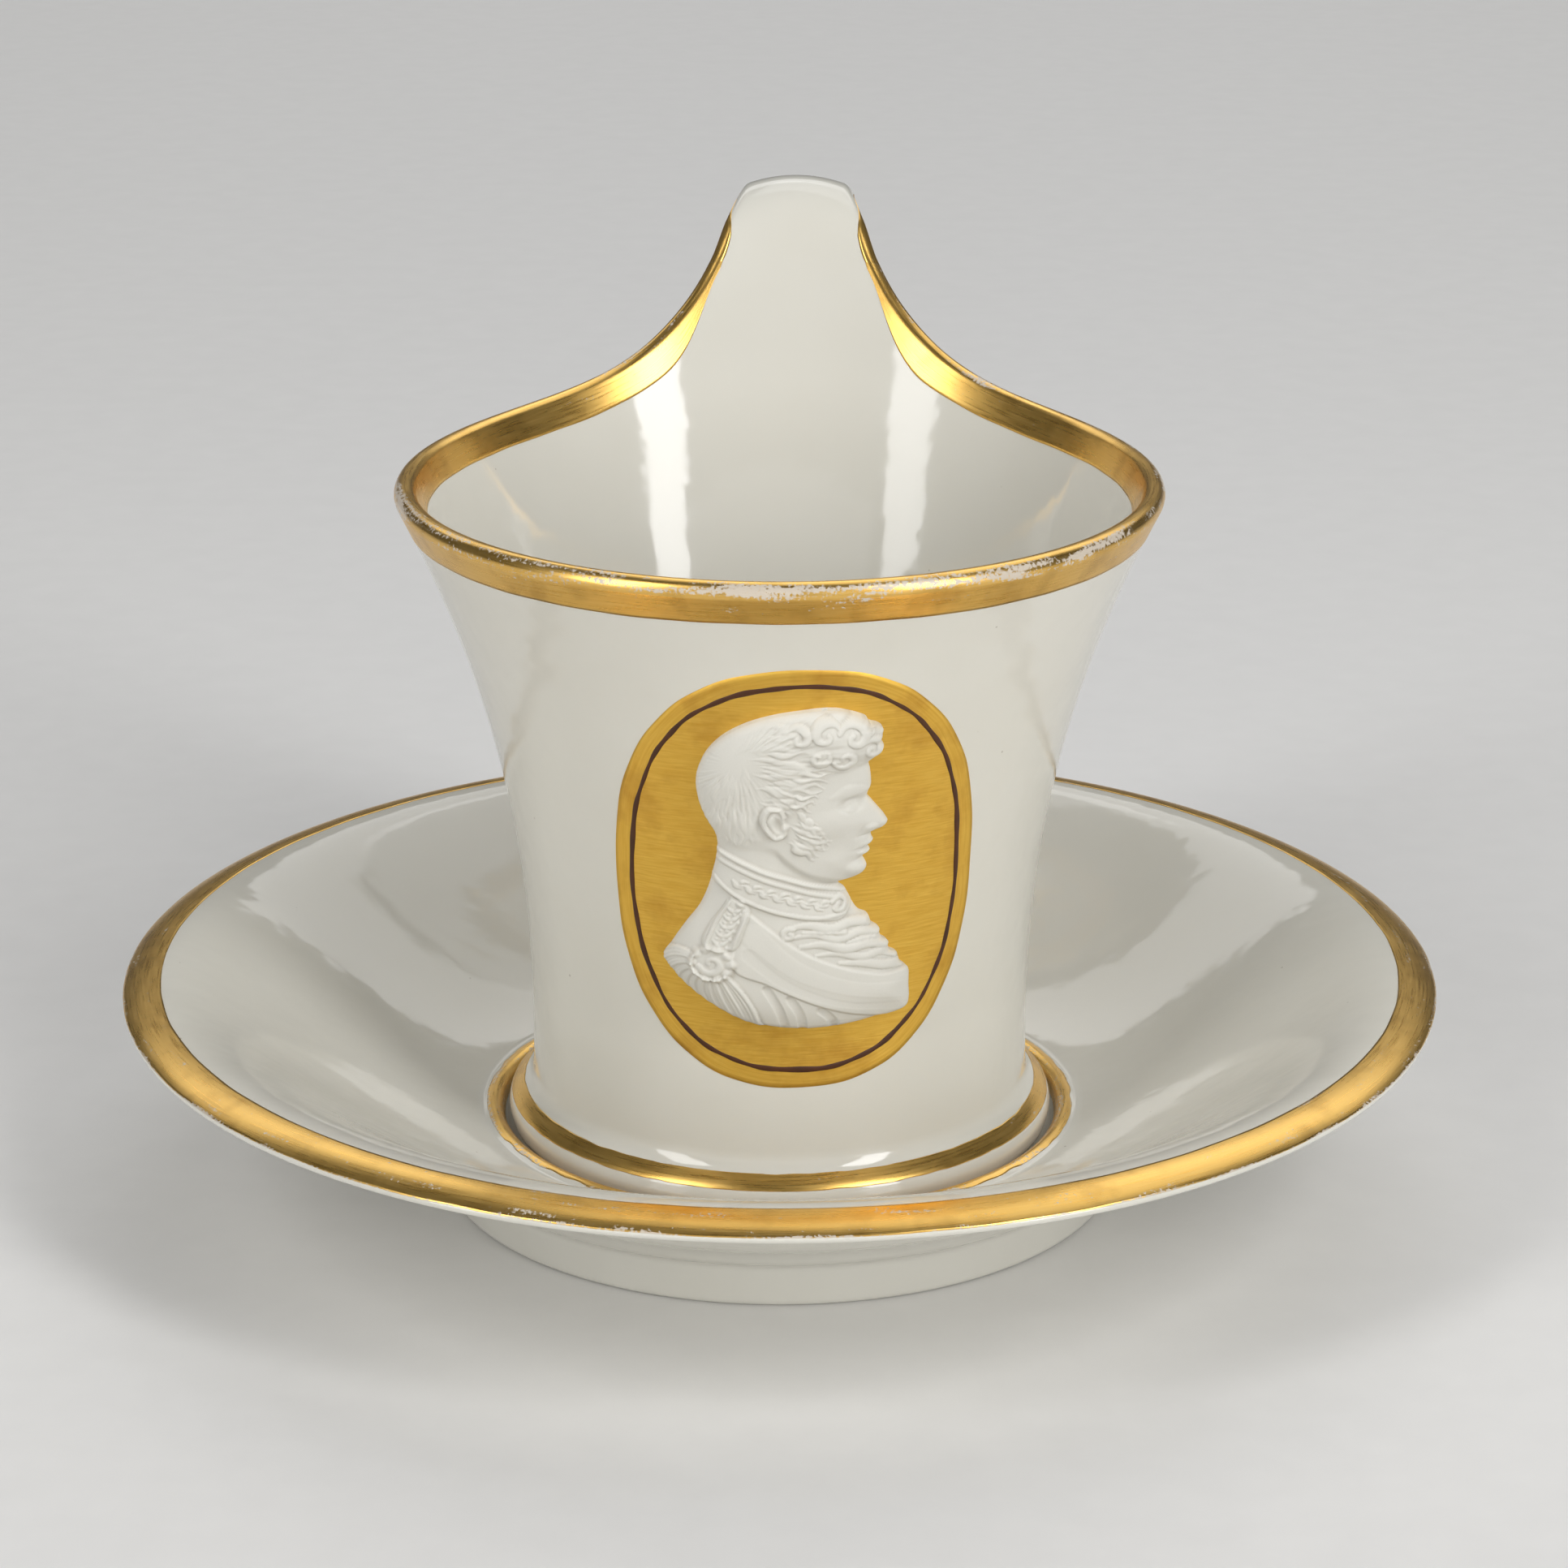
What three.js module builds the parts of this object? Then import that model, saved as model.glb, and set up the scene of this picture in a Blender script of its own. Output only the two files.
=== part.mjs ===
// A gilded porcelain cup with a portrait medallion, standing in its saucer.
// Millimetres, +Z up. The origin is the centre of the saucer's foot on the table.
// The portrait faces -Y and the handle stands at the back, towards +Y.

import * as THREE from 'three';

// Saucer
const SAUCER_RADIUS = 75.2;
const SAUCER_HEIGHT = 26.1;
const SAUCER_WALL = 2.6;
const SAUCER_EDGE = 1.1;
const SAUCER_LIP_DROP = 1.3;
const SAUCER_LIP_WIDTH = 4.7;
const SAUCER_FOOT_RADIUS = 39.4;
const SAUCER_FOOT_WIDTH = 3.2;
const SAUCER_FOOT_HEIGHT = 6.0;
const SAUCER_FOOT_RECESS = 3.4;
const SAUCER_FLOOR = 3.3;
const WELL_RING_HEIGHT = 2.2;
const WELL_RING_WIDTH = 2.6;
const TURNED_EDGE = 0.5;

// Cup
const CUP_FOOT_RADIUS = 31.5;
const CUP_FOOT_WIDTH = 3.6;
const CUP_FOOT_HEIGHT = 5.2;
const CUP_FOOT_RECESS = 2.2;
const CUP_FLOOR = 3.4;
const BOWL_ROUND = 5.0;
const CUP_WALL = 2.4;
const CUP_HEIGHT = 75.7;
const WAIST_RADIUS = 28.5;
const WAIST_HEIGHT = 11.3;
const RIM_RADIUS = 42.7;
const FLARE_POWER = 2.2;

// Tongue and strap handle
const HANDLE_TURN = 2.1;
const TONGUE_GAIN = 46.8;
const TONGUE_SPREAD = 8.0;
const TONGUE_RISE = 14.5;
const CREST_RISE = 6.2;
const CREST_SETBACK = 6.6;
const LOOP_REACH = 13.0;
const LOOP_FALL = 21.6;
const LOOP_FOOT_HEIGHT = 31.5;
const STRAP_THICKNESS = 2.6;
const STRAP_CROWN = 1.4;
const STRAP_CREST_WIDTH = 14.0;
const STRAP_BACK_WIDTH = 11.0;
const STRAP_FOOT_WIDTH = 13.0;

// Portrait medallion, measured along the wall
const MEDALLION_TURN = 3.7;
const MEDALLION_WIDTH = 41.8;
const MEDALLION_TOP_MARGIN = 9.6;
const MEDALLION_BOTTOM_MARGIN = 14.7;
const MEDALLION_SQUARENESS = 2.3;
const LINE_INSET = 1.9;
const LINE_WIDTH = 0.5;
const RELIEF_DEPTH = 2.6;
const RELIEF_EDGE = 0.7;

// Gilding, thickened so that each fired layer is a solid of its own
const GILDING = 0.2;
const GILDING_SEAT = 0.15;
const RIM_BAND = 4.3;
const HANDLE_BAND = 1.0;
const HANDLE_EDGE_SHARE = 0.6;
const FOOT_BAND_START_SHARE = 0.2;
const FOOT_BAND_END_SHARE = 0.62;

// Fits
const FOOT_CLEARANCE = 0.5;
const SEAT_GAP = 0.3;
const JOINT_GAP = 0.3;

// Mesh density
const LATHE_SEGMENTS = 44;
const RIM_COLUMNS = 42;
const TONGUE_COLUMNS = 6;
const WALL_ROWS = 9;
const LIP_STEPS = 4;
const STRAP_SECTIONS = 22;
const OVAL_STATIONS = 60;
const GROUND_ROWS = 15;
const GROUND_COLUMNS = 12;
const BUST_ROWS = 40;
const BUST_COLUMNS = 18;
const BUST_BACK_COLUMNS = 6;

const degrees = Math.PI / 180;
const wellFloor = SAUCER_FOOT_RECESS + SAUCER_FLOOR;
const cupBase = wellFloor + SEAT_GAP;
const waistZ = cupBase + WAIST_HEIGHT;
const lipZ = cupBase + CUP_HEIGHT - CUP_WALL / 2;
const seamZ = lipZ + TONGUE_RISE;
const rimSlope = FLARE_POWER * (RIM_RADIUS - WAIST_RADIUS) / (lipZ - waistZ);

const porcelain = { color: 0xeeece6, roughness: 0.12, metalness: 0.0 };
const gold = { color: 0xc49a3c, roughness: 0.32, metalness: 1.0 };
const mattGold = { color: 0xc8a040, roughness: 0.55, metalness: 1.0 };
const biscuit = { color: 0xf2f1ef, roughness: 0.7, metalness: 0.0 };
const brownEnamel = { color: 0x4a2a14, roughness: 0.45, metalness: 0.0 };

const part = new THREE.Group();

function addPiece(name, geometry, look) {
  const mesh = new THREE.Mesh(geometry, new THREE.MeshStandardMaterial(look));
  mesh.name = name;
  part.add(mesh);
}

function smoothStep(low, high, value) {
  return THREE.MathUtils.smoothstep(value, low, high);
}

// A closed skin over rings of points, all with the same number of points. Each four-sided face is split
// along its shorter diagonal. Its ends are closed in one of three ways: a loop joins the last ring to the
// first, a fan runs from the middle of each end ring, and a strip runs between the two long sides of a thin
// one. The last fan meets in the middle of its ring, or in a point that is given.
function loft(rings, closing = 'fan', lastHub = null) {
  const size = rings[0].length;
  const points = rings.flat();
  const faces = [];
  const lastRing = rings.length - 1;
  const rows = closing === 'loop' ? rings.length : lastRing;
  for (let row = 0; row < rows; row += 1) {
    const here = row * size;
    const above = ((row + 1) % rings.length) * size;
    for (let i = 0; i < size; i += 1) {
      const j = (i + 1) % size;
      const rising = points[here + i].distanceTo(points[above + j]);
      const falling = points[here + j].distanceTo(points[above + i]);
      if (rising <= falling) {
        faces.push(here + i, here + j, above + j, here + i, above + j, above + i);
      } else {
        faces.push(here + i, here + j, above + i, here + j, above + j, above + i);
      }
    }
  }
  if (closing === 'strip') {
    for (let i = 0; i < size / 2 - 1; i += 1) {
      const [a, b, c, d] = [i, i + 1, size - 2 - i, size - 1 - i];
      const above = lastRing * size;
      faces.push(a, c, b, a, d, c);
      faces.push(above + a, above + b, above + c, above + a, above + c, above + d);
    }
  }
  if (closing === 'fan') {
    for (const end of [0, lastRing]) {
      const start = end * size;
      const hub = points.length;
      const middle = new THREE.Vector3();
      rings[end].forEach((point) => middle.addScaledVector(point, 1 / size));
      points.push(end > 0 && lastHub ? lastHub : middle);
      for (let i = 0; i < size; i += 1) {
        const j = (i + 1) % size;
        const pair = end === 0 ? [j, i] : [i, j];
        faces.push(hub, start + pair[0], start + pair[1]);
      }
    }
  }
  const geometry = new THREE.BufferGeometry().setFromPoints(points);
  geometry.setIndex(faces);
  geometry.computeVertexNormals();
  return geometry;
}

// Turns a profile of (radius, height) points round the Z axis.
function turned(profile) {
  const geometry = new THREE.LatheGeometry(profile, LATHE_SEGMENTS);
  geometry.rotateX(Math.PI / 2);
  return geometry;
}

// Pushes each point of an open profile sideways, to its left as it runs, by its own distance.
function pushProfile(profile, distanceAt) {
  return profile.map((point, i) => {
    const before = profile[Math.max(i - 1, 0)];
    const after = profile[Math.min(i + 1, profile.length - 1)];
    const along = after.clone().sub(before).normalize();
    const distance = distanceAt(point);
    return new THREE.Vector2(point.x - along.y * distance, point.y + along.x * distance);
  });
}

// A thin ring of gold that lies on an open stretch of a turned profile.
function gildedRing(profile, side) {
  const inner = pushProfile(profile, () => side * GILDING_SEAT);
  const outer = pushProfile(profile, () => side * (GILDING_SEAT + GILDING));
  const outline = side > 0 ? [...inner, ...outer.reverse()] : [...outer, ...inner.reverse()];
  outline.push(outline[0].clone());
  return turned(outline);
}

// The saucer: a bowl with an everted lip, from the well ring outwards.
const lipEdge = new THREE.Vector2(SAUCER_RADIUS, SAUCER_HEIGHT - SAUCER_LIP_DROP);
const lipCrest = new THREE.Vector2(SAUCER_RADIUS - SAUCER_LIP_WIDTH, SAUCER_HEIGHT);
const wellRadius = CUP_FOOT_RADIUS + FOOT_CLEARANCE;
const ringTop = wellFloor + WELL_RING_HEIGHT;
const flankFoot = new THREE.Vector2(wellRadius + WELL_RING_WIDTH, ringTop - TURNED_EDGE);
const flankSpan = lipCrest.x - flankFoot.x;
const flank = new THREE.CubicBezierCurve(
  flankFoot,
  new THREE.Vector2(flankFoot.x + 0.38 * flankSpan, flankFoot.y + 0.05 * flankSpan),
  new THREE.Vector2(lipCrest.x - 0.22 * flankSpan, lipCrest.y),
  lipCrest,
).getPoints(7);
const lip = new THREE.QuadraticBezierCurve(
  lipCrest,
  new THREE.Vector2(lipCrest.x + 0.6 * SAUCER_LIP_WIDTH, lipCrest.y),
  lipEdge,
).getPoints(3);
const dishTop = [...flank, ...lip.slice(1)];
const ringBead = [
  new THREE.Vector2(wellRadius, wellFloor + 0.25 * WELL_RING_HEIGHT),
  new THREE.Vector2(wellRadius + 0.15 * WELL_RING_WIDTH, ringTop - TURNED_EDGE),
  new THREE.Vector2(wellRadius + 0.45 * WELL_RING_WIDTH, ringTop),
  new THREE.Vector2(wellRadius + 0.75 * WELL_RING_WIDTH, ringTop - 0.4 * TURNED_EDGE),
];
const footInner = SAUCER_FOOT_RADIUS - SAUCER_FOOT_WIDTH;
const footFillet = 3 * TURNED_EDGE;
// The dish is thinned towards its edge, from halfway up the flank.
const dishThickness = (point) => THREE.MathUtils.lerp(
  SAUCER_WALL, SAUCER_EDGE, smoothStep((flankFoot.x + lipCrest.x) / 2, lipEdge.x, point.x));
const dishUnder = pushProfile(dishTop, (point) => -dishThickness(point)).filter((point) => (
  point.x > SAUCER_FOOT_RADIUS + 1.6 * footFillet && point.y > SAUCER_FOOT_HEIGHT + TURNED_EDGE));
addPiece('saucer_dish', turned([
  new THREE.Vector2(0, SAUCER_FOOT_RECESS),
  new THREE.Vector2(footInner - footFillet, SAUCER_FOOT_RECESS),
  new THREE.Vector2(footInner - TURNED_EDGE, SAUCER_FOOT_RECESS - TURNED_EDGE),
  new THREE.Vector2(footInner, 0),
  new THREE.Vector2(SAUCER_FOOT_RADIUS - TURNED_EDGE, 0),
  new THREE.Vector2(SAUCER_FOOT_RADIUS, TURNED_EDGE),
  new THREE.Vector2(SAUCER_FOOT_RADIUS + TURNED_EDGE, SAUCER_FOOT_HEIGHT - footFillet / 2),
  new THREE.Vector2(SAUCER_FOOT_RADIUS + footFillet, SAUCER_FOOT_HEIGHT),
  ...dishUnder.slice(0, -1),
  new THREE.Vector2(lipEdge.x - 0.45 * SAUCER_EDGE, lipEdge.y - 0.85 * SAUCER_EDGE),
  new THREE.Vector2(lipEdge.x, lipEdge.y - 0.4 * SAUCER_EDGE),
  ...dishTop.slice().reverse(),
  ...ringBead.slice().reverse(),
  new THREE.Vector2(wellRadius - TURNED_EDGE, wellFloor),
  new THREE.Vector2(0, wellFloor),
]), porcelain);

addPiece('saucer_rim_gilding', gildedRing(lip, 1), gold);
addPiece('saucer_well_gilding', gildedRing(ringBead, 1), gold);

// The cup's outer wall flares from the waist to the rim by a power of the height, and runs on straight
// above the lip, where the tongue stands.
function wallRadius(z) {
  if (z > lipZ) {
    return RIM_RADIUS + rimSlope * (z - lipZ);
  }
  const share = Math.max(0, (z - waistZ) / (lipZ - waistZ));
  return WAIST_RADIUS + (RIM_RADIUS - WAIST_RADIUS) * share ** FLARE_POWER;
}

function wallSlope(z) {
  return (wallRadius(z + 0.05) - wallRadius(z - 0.05)) / 0.1;
}

// A point of the wall. The angle runs from the front towards +X, and the offset along the outward normal.
function wallPoint(angle, z, offset) {
  const slope = wallSlope(z);
  const length = Math.hypot(1, slope);
  const radius = wallRadius(z) + offset / length;
  const height = z - offset * slope / length;
  return new THREE.Vector3(radius * Math.sin(angle), -radius * Math.cos(angle), height);
}

// The rim's height at an angle from the handle: an exponential sweep up into the tongue.
function rimHeight(turn) {
  let z = lipZ;
  for (let pass = 0; pass < 25; pass += 1) {
    z = lipZ + TONGUE_GAIN * Math.exp(-wallRadius(z) * Math.abs(turn) / TONGUE_SPREAD);
    z = Math.min(z, seamZ);
  }
  return z;
}

const handleAngle = Math.PI - HANDLE_TURN * degrees;
const tongueHalfWidth = TONGUE_SPREAD * Math.log(TONGUE_GAIN / TONGUE_RISE);
const tongueHalfAngle = tongueHalfWidth / wallRadius(seamZ);

// One point of the lip's round: 0 is its outer side, 1 its inner side. On the tongue the round leans
// sideways, until it stands square to the strap at the seam.
function lipPoint(turn, share, offset) {
  const z = rimHeight(turn);
  const angle = handleAngle + turn;
  const middle = wallPoint(angle, z, -CUP_WALL / 2);
  const outward = wallPoint(angle, z, 1).sub(wallPoint(angle, z, 0));
  const upward = wallPoint(angle, z + 1, 0).sub(wallPoint(angle, z, 0)).normalize();
  const sideways = new THREE.Vector3().crossVectors(outward, upward).multiplyScalar(-Math.sign(turn));
  const steepness = Math.atan((z - lipZ) / TONGUE_SPREAD);
  const lean = THREE.MathUtils.lerp(steepness, Math.PI / 2, smoothStep(0.3, 1, (z - lipZ) / TONGUE_RISE));
  const away = upward.multiplyScalar(Math.cos(lean)).addScaledVector(sideways, Math.sin(lean));
  const swing = Math.PI * share;
  return middle
    .addScaledVector(outward, Math.cos(swing) * (CUP_WALL / 2 + offset))
    .addScaledVector(away, Math.sin(swing) * (CUP_WALL / 2 + offset));
}

// Angles from the handle for the columns of the rim, closer together beside the tongue.
const rimTurns = [];
for (let i = 0; i <= RIM_COLUMNS; i += 1) {
  const share = i / RIM_COLUMNS;
  const eased = share - 0.45 * Math.sin(2 * Math.PI * share) / (2 * Math.PI);
  rimTurns.push(THREE.MathUtils.lerp(tongueHalfAngle, 2 * Math.PI - tongueHalfAngle, eased));
}
const signedTurn = (turn) => (turn > Math.PI ? turn - 2 * Math.PI : turn);

// The foot's turned moulding, from the middle of the underside to the waist.
const footCurve = new THREE.CubicBezierCurve(
  new THREE.Vector2(CUP_FOOT_RADIUS, cupBase + 0.35 * CUP_FOOT_HEIGHT),
  new THREE.Vector2(CUP_FOOT_RADIUS, cupBase + 0.8 * CUP_FOOT_HEIGHT),
  new THREE.Vector2(WAIST_RADIUS, cupBase + 0.8 * CUP_FOOT_HEIGHT),
  new THREE.Vector2(WAIST_RADIUS, cupBase + 1.3 * CUP_FOOT_HEIGHT),
);
const footMoulding = footCurve.getPoints(6);
const footUnder = [
  new THREE.Vector2(CUP_FOOT_RADIUS - CUP_FOOT_WIDTH - TURNED_EDGE, cupBase + CUP_FOOT_RECESS),
  new THREE.Vector2(CUP_FOOT_RADIUS - CUP_FOOT_WIDTH, cupBase),
  new THREE.Vector2(CUP_FOOT_RADIUS - TURNED_EDGE, cupBase),
];
const wallStart = footMoulding[footMoulding.length - 1].y;
const innerFloor = cupBase + CUP_FOOT_RECESS + CUP_FLOOR;

// One column of the cup's skin, from the foot up the outside, over the lip and down the inside.
function cupColumn(turn, onTongue) {
  const angle = handleAngle + turn;
  const top = onTongue ? seamZ : rimHeight(turn);
  const onCircle = (point) => new THREE.Vector3(
    point.x * Math.sin(angle), -point.x * Math.cos(angle), point.y);
  const column = [...footUnder, ...footMoulding].map(onCircle);
  for (let row = 1; row < WALL_ROWS; row += 1) {
    column.push(wallPoint(angle, THREE.MathUtils.lerp(wallStart, top, row / WALL_ROWS), 0));
  }
  for (let step = 0; step <= LIP_STEPS; step += 1) {
    const share = step / LIP_STEPS;
    column.push(onTongue ? wallPoint(angle, seamZ, -CUP_WALL * share) : lipPoint(turn, share, 0));
  }
  const bowlStart = innerFloor + BOWL_ROUND;
  for (let row = WALL_ROWS - 1; row >= 0; row -= 1) {
    column.push(wallPoint(angle, THREE.MathUtils.lerp(bowlStart, top, row / WALL_ROWS), -CUP_WALL));
  }
  const bowlRadius = wallRadius(bowlStart) - CUP_WALL;
  for (const swing of [30, 60, 90]) {
    const inward = BOWL_ROUND * (1 - Math.cos(swing * degrees));
    const down = BOWL_ROUND * Math.sin(swing * degrees);
    column.push(onCircle(new THREE.Vector2(bowlRadius - inward, bowlStart - down)));
  }
  return column;
}

const cupColumns = rimTurns.map((turn) => cupColumn(signedTurn(turn), false));
for (let i = 1; i < TONGUE_COLUMNS; i += 1) {
  const turn = THREE.MathUtils.lerp(-tongueHalfAngle, tongueHalfAngle, i / TONGUE_COLUMNS);
  cupColumns.push(cupColumn(turn, true));
}
const cupRings = cupColumns[0].map((_, row) => cupColumns.map((column) => column[row]));
addPiece('cup_body', loft(cupRings), porcelain);

// Gold over the lip. The band narrows as it climbs the tongue's edges, towards the crest.
function rimBandSection(turn) {
  const angle = handleAngle + turn;
  const z = rimHeight(turn);
  const rise = z - lipZ;
  const width = THREE.MathUtils.lerp(RIM_BAND, HANDLE_BAND, rise / TONGUE_RISE);
  const drop = width * Math.hypot(1, rise / TONGUE_SPREAD);
  const side = (offset) => {
    const line = [wallPoint(angle, z - drop, -CUP_WALL - offset)];
    for (let step = LIP_STEPS; step >= 0; step -= 1) {
      line.push(lipPoint(turn, step / LIP_STEPS, offset));
    }
    line.push(wallPoint(angle, z - drop, offset));
    return line;
  };
  return [...side(GILDING_SEAT + GILDING), ...side(GILDING_SEAT).reverse()];
}
const rimSections = rimTurns.map((turn) => rimBandSection(signedTurn(turn)));
addPiece('rim_gilding', loft(rimSections, 'strip'), gold);

const footBand = [0, 1, 2, 3].map((step) => (
  footCurve.getPoint(THREE.MathUtils.lerp(FOOT_BAND_START_SHARE, FOOT_BAND_END_SHARE, step / 3))));
addPiece('foot_gilding', gildedRing(footBand, -1), gold);

// The strap's centre line in the upright plane through the handle: x is the distance from the cup's axis
// and y the height. It leaves the tongue along the wall, turns over the crest and runs back to the wall.
const wallLength = Math.hypot(1, rimSlope);
const alongWall = new THREE.Vector2(rimSlope, 1).divideScalar(wallLength);
const outOfWall = new THREE.Vector2(1, -rimSlope).divideScalar(wallLength);
const strapStart = new THREE.Vector2(wallRadius(seamZ), seamZ)
  .addScaledVector(outOfWall, -CUP_WALL / 2)
  .addScaledVector(alongWall, JOINT_GAP);
const crest = new THREE.Vector2(strapStart.x + CREST_SETBACK, strapStart.y + CREST_RISE);
const loopBack = new THREE.Vector2(crest.x + LOOP_REACH, crest.y - LOOP_FALL);
const loopFootZ = cupBase + LOOP_FOOT_HEIGHT;
const loopFoot = new THREE.Vector2(wallRadius(loopFootZ) + JOINT_GAP, loopFootZ);
const loopDrop = loopBack.y - loopFoot.y;
const loopSpan = loopBack.x - loopFoot.x;
const strapRuns = [
  new THREE.CubicBezierCurve(
    strapStart,
    strapStart.clone().addScaledVector(alongWall, 0.55 * (crest.y - strapStart.y)),
    new THREE.Vector2(crest.x - 0.5 * (crest.x - strapStart.x), crest.y),
    crest,
  ),
  new THREE.CubicBezierCurve(
    crest,
    new THREE.Vector2(crest.x + 0.62 * (loopBack.x - crest.x), crest.y),
    new THREE.Vector2(loopBack.x, loopBack.y + 0.5 * (crest.y - loopBack.y)),
    loopBack,
  ),
  new THREE.CubicBezierCurve(
    loopBack,
    new THREE.Vector2(loopBack.x, loopBack.y - 0.5 * loopDrop),
    new THREE.Vector2(loopFoot.x + 0.55 * loopSpan, loopFoot.y + 0.2 * loopDrop),
    loopFoot,
  ),
];
const runShares = [0.25, 0.33, 0.42];

// Halfway between two widths at a rate that eases out, as the tongue's edges do.
function easeOut(share) {
  return 1 - (1 - share) ** 1.5;
}

// A station of the strap, at a share of its run from the tongue to the lower wall.
function strapStation(share) {
  let run = 0;
  let start = 0;
  while (run < 2 && share > start + runShares[run]) {
    start += runShares[run];
    run += 1;
  }
  const local = Math.min(1, (share - start) / runShares[run]);
  const centre = strapRuns[run].getPoint(local);
  const along = strapRuns[run].getTangent(local);
  const widths = [2 * tongueHalfWidth + CUP_WALL, STRAP_CREST_WIDTH, STRAP_BACK_WIDTH, STRAP_FOOT_WIDTH];
  const ease = [easeOut(local), smoothStep(0, 1, local), smoothStep(0.55, 1, local)][run];
  const rise = run > 0 ? 1 : smoothStep(0, 1, local);
  const thickness = THREE.MathUtils.lerp(CUP_WALL, STRAP_THICKNESS, rise);
  const halfWidth = THREE.MathUtils.lerp(widths[run], widths[run + 1], ease) / 2;
  const bend = (1 - rise) / wallRadius(seamZ);
  const crown = STRAP_CROWN * rise;
  return { centre, along, rise, round: thickness / 2, flat: halfWidth - thickness / 2, bend, crown };
}

// Places a point of a strap station: across the strap, and out from its centre line to the side that is
// the wall's outside at the tongue. The other side, which faces away from the cup, is crowned.
function strapPoint(station, across, out) {
  const share = across / (station.flat + station.round);
  const crown = station.crown * Math.max(0, -out / station.round) * Math.max(0, 1 - share * share);
  const lift = out - crown - station.bend * across * across / 2;
  const distance = station.centre.x + station.along.y * lift;
  const z = station.centre.y - station.along.x * lift;
  const radial = new THREE.Vector3(Math.sin(handleAngle), -Math.cos(handleAngle), 0);
  const lateral = new THREE.Vector3(Math.cos(handleAngle), Math.sin(handleAngle), 0);
  return radial.multiplyScalar(distance).addScaledVector(lateral, across).setZ(z);
}

// A strap's outline round one edge: it starts on the inside of the loop, at a reach from the edge, and
// covers a share of the edge's half round. Side is 1 or -1, and the offset swells the outline.
function strapEdge(station, side, offset, reach, cover) {
  const radius = station.round + offset;
  const line = [[station.flat - reach, radius]];
  for (let step = 0; step <= LIP_STEPS; step += 1) {
    const swing = cover * Math.PI * step / LIP_STEPS;
    line.push([station.flat + radius * Math.sin(swing), radius * Math.cos(swing)]);
  }
  const points = line.map(([across, out]) => strapPoint(station, side * across, out));
  return side > 0 ? points : points.reverse();
}

// Slides a point along the strap until it lies on the cup's wall, one joint's gap away from it.
function landOnWall(point, along) {
  const heading = new THREE.Vector3(
    along.x * Math.sin(handleAngle), -along.x * Math.cos(handleAngle), along.y);
  for (let pass = 0; pass < 40; pass += 1) {
    const miss = Math.hypot(point.x, point.y) - wallRadius(point.z) - JOINT_GAP;
    point.addScaledVector(heading, 0.8 * miss);
  }
  return point;
}

const strapSections = [];
for (let i = 0; i <= STRAP_SECTIONS; i += 1) {
  const station = strapStation(i / STRAP_SECTIONS);
  const half = station.flat / 2;
  const crowned = [half, 0, -half].map((across) => strapPoint(station, across, -station.round));
  const section = [...strapEdge(station, 1, 0, half, 1), ...crowned, ...strapEdge(station, -1, 0, half, 1)];
  if (i === STRAP_SECTIONS) {
    section.forEach((point) => landOnWall(point, station.along));
  }
  strapSections.push(section);
}
const strapEnd = strapStation(1);
const strapHub = landOnWall(strapPoint(strapEnd, 0, 0), strapEnd.along);
addPiece('cup_handle', loft(strapSections, 'fan', strapHub), porcelain);

// Gold along both edges of the strap. From the seam on it draws back from the strap's crowned side. The
// right band is built from its lower end upwards, so that its faces mirror those of the left one.
for (const [name, side] of [['handle_gilding_left', 1], ['handle_gilding_right', -1]]) {
  const sections = [];
  for (let i = 0; i < STRAP_SECTIONS; i += 1) {
    const station = strapStation(i / STRAP_SECTIONS);
    const cover = THREE.MathUtils.lerp(1, HANDLE_EDGE_SHARE, station.rise);
    const outer = strapEdge(station, side, GILDING_SEAT + GILDING, HANDLE_BAND, cover);
    const inner = strapEdge(station, side, GILDING_SEAT, HANDLE_BAND, cover);
    sections.push([...outer, ...inner.reverse()]);
  }
  if (side < 0) {
    sections.reverse().forEach((section) => section.reverse());
  }
  addPiece(name, loft(sections, 'strip'), gold);
}

// The medallion is laid out flat, across and up from its centre in millimetres along the wall, and then
// wrapped round the cup.
const medallionHeight = CUP_HEIGHT - MEDALLION_TOP_MARGIN - MEDALLION_BOTTOM_MARGIN;
const medallionZ = cupBase + MEDALLION_BOTTOM_MARGIN + medallionHeight / 2;
function wrap(across, up, offset) {
  const z = medallionZ + up;
  return wallPoint(MEDALLION_TURN * degrees + across / wallRadius(z), z, offset);
}

// Half the width of the oval at a height, drawn in by an inset.
function ovalHalfWidth(up, inset) {
  const high = medallionHeight / 2 - inset;
  const wide = MEDALLION_WIDTH / 2 - inset;
  const share = Math.min(1, Math.abs(up) / high);
  return wide * (1 - share ** MEDALLION_SQUARENESS) ** (1 / MEDALLION_SQUARENESS);
}

// A sheet between two side lines, wrapped on the wall, from its lower to its upper row.
function wrappedSheet(rows, columns, backColumns, edges, under, over) {
  return loft(rows.map((up) => {
    const [left, right] = edges(up);
    const ring = [];
    for (let i = 0; i <= columns; i += 1) {
      const across = THREE.MathUtils.lerp(left, right, i / columns);
      ring.push(wrap(across, up, over(across, up)));
    }
    for (let i = backColumns; i >= 0; i -= 1) {
      ring.push(wrap(THREE.MathUtils.lerp(left, right, i / backColumns), up, under));
    }
    return ring;
  }));
}

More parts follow.
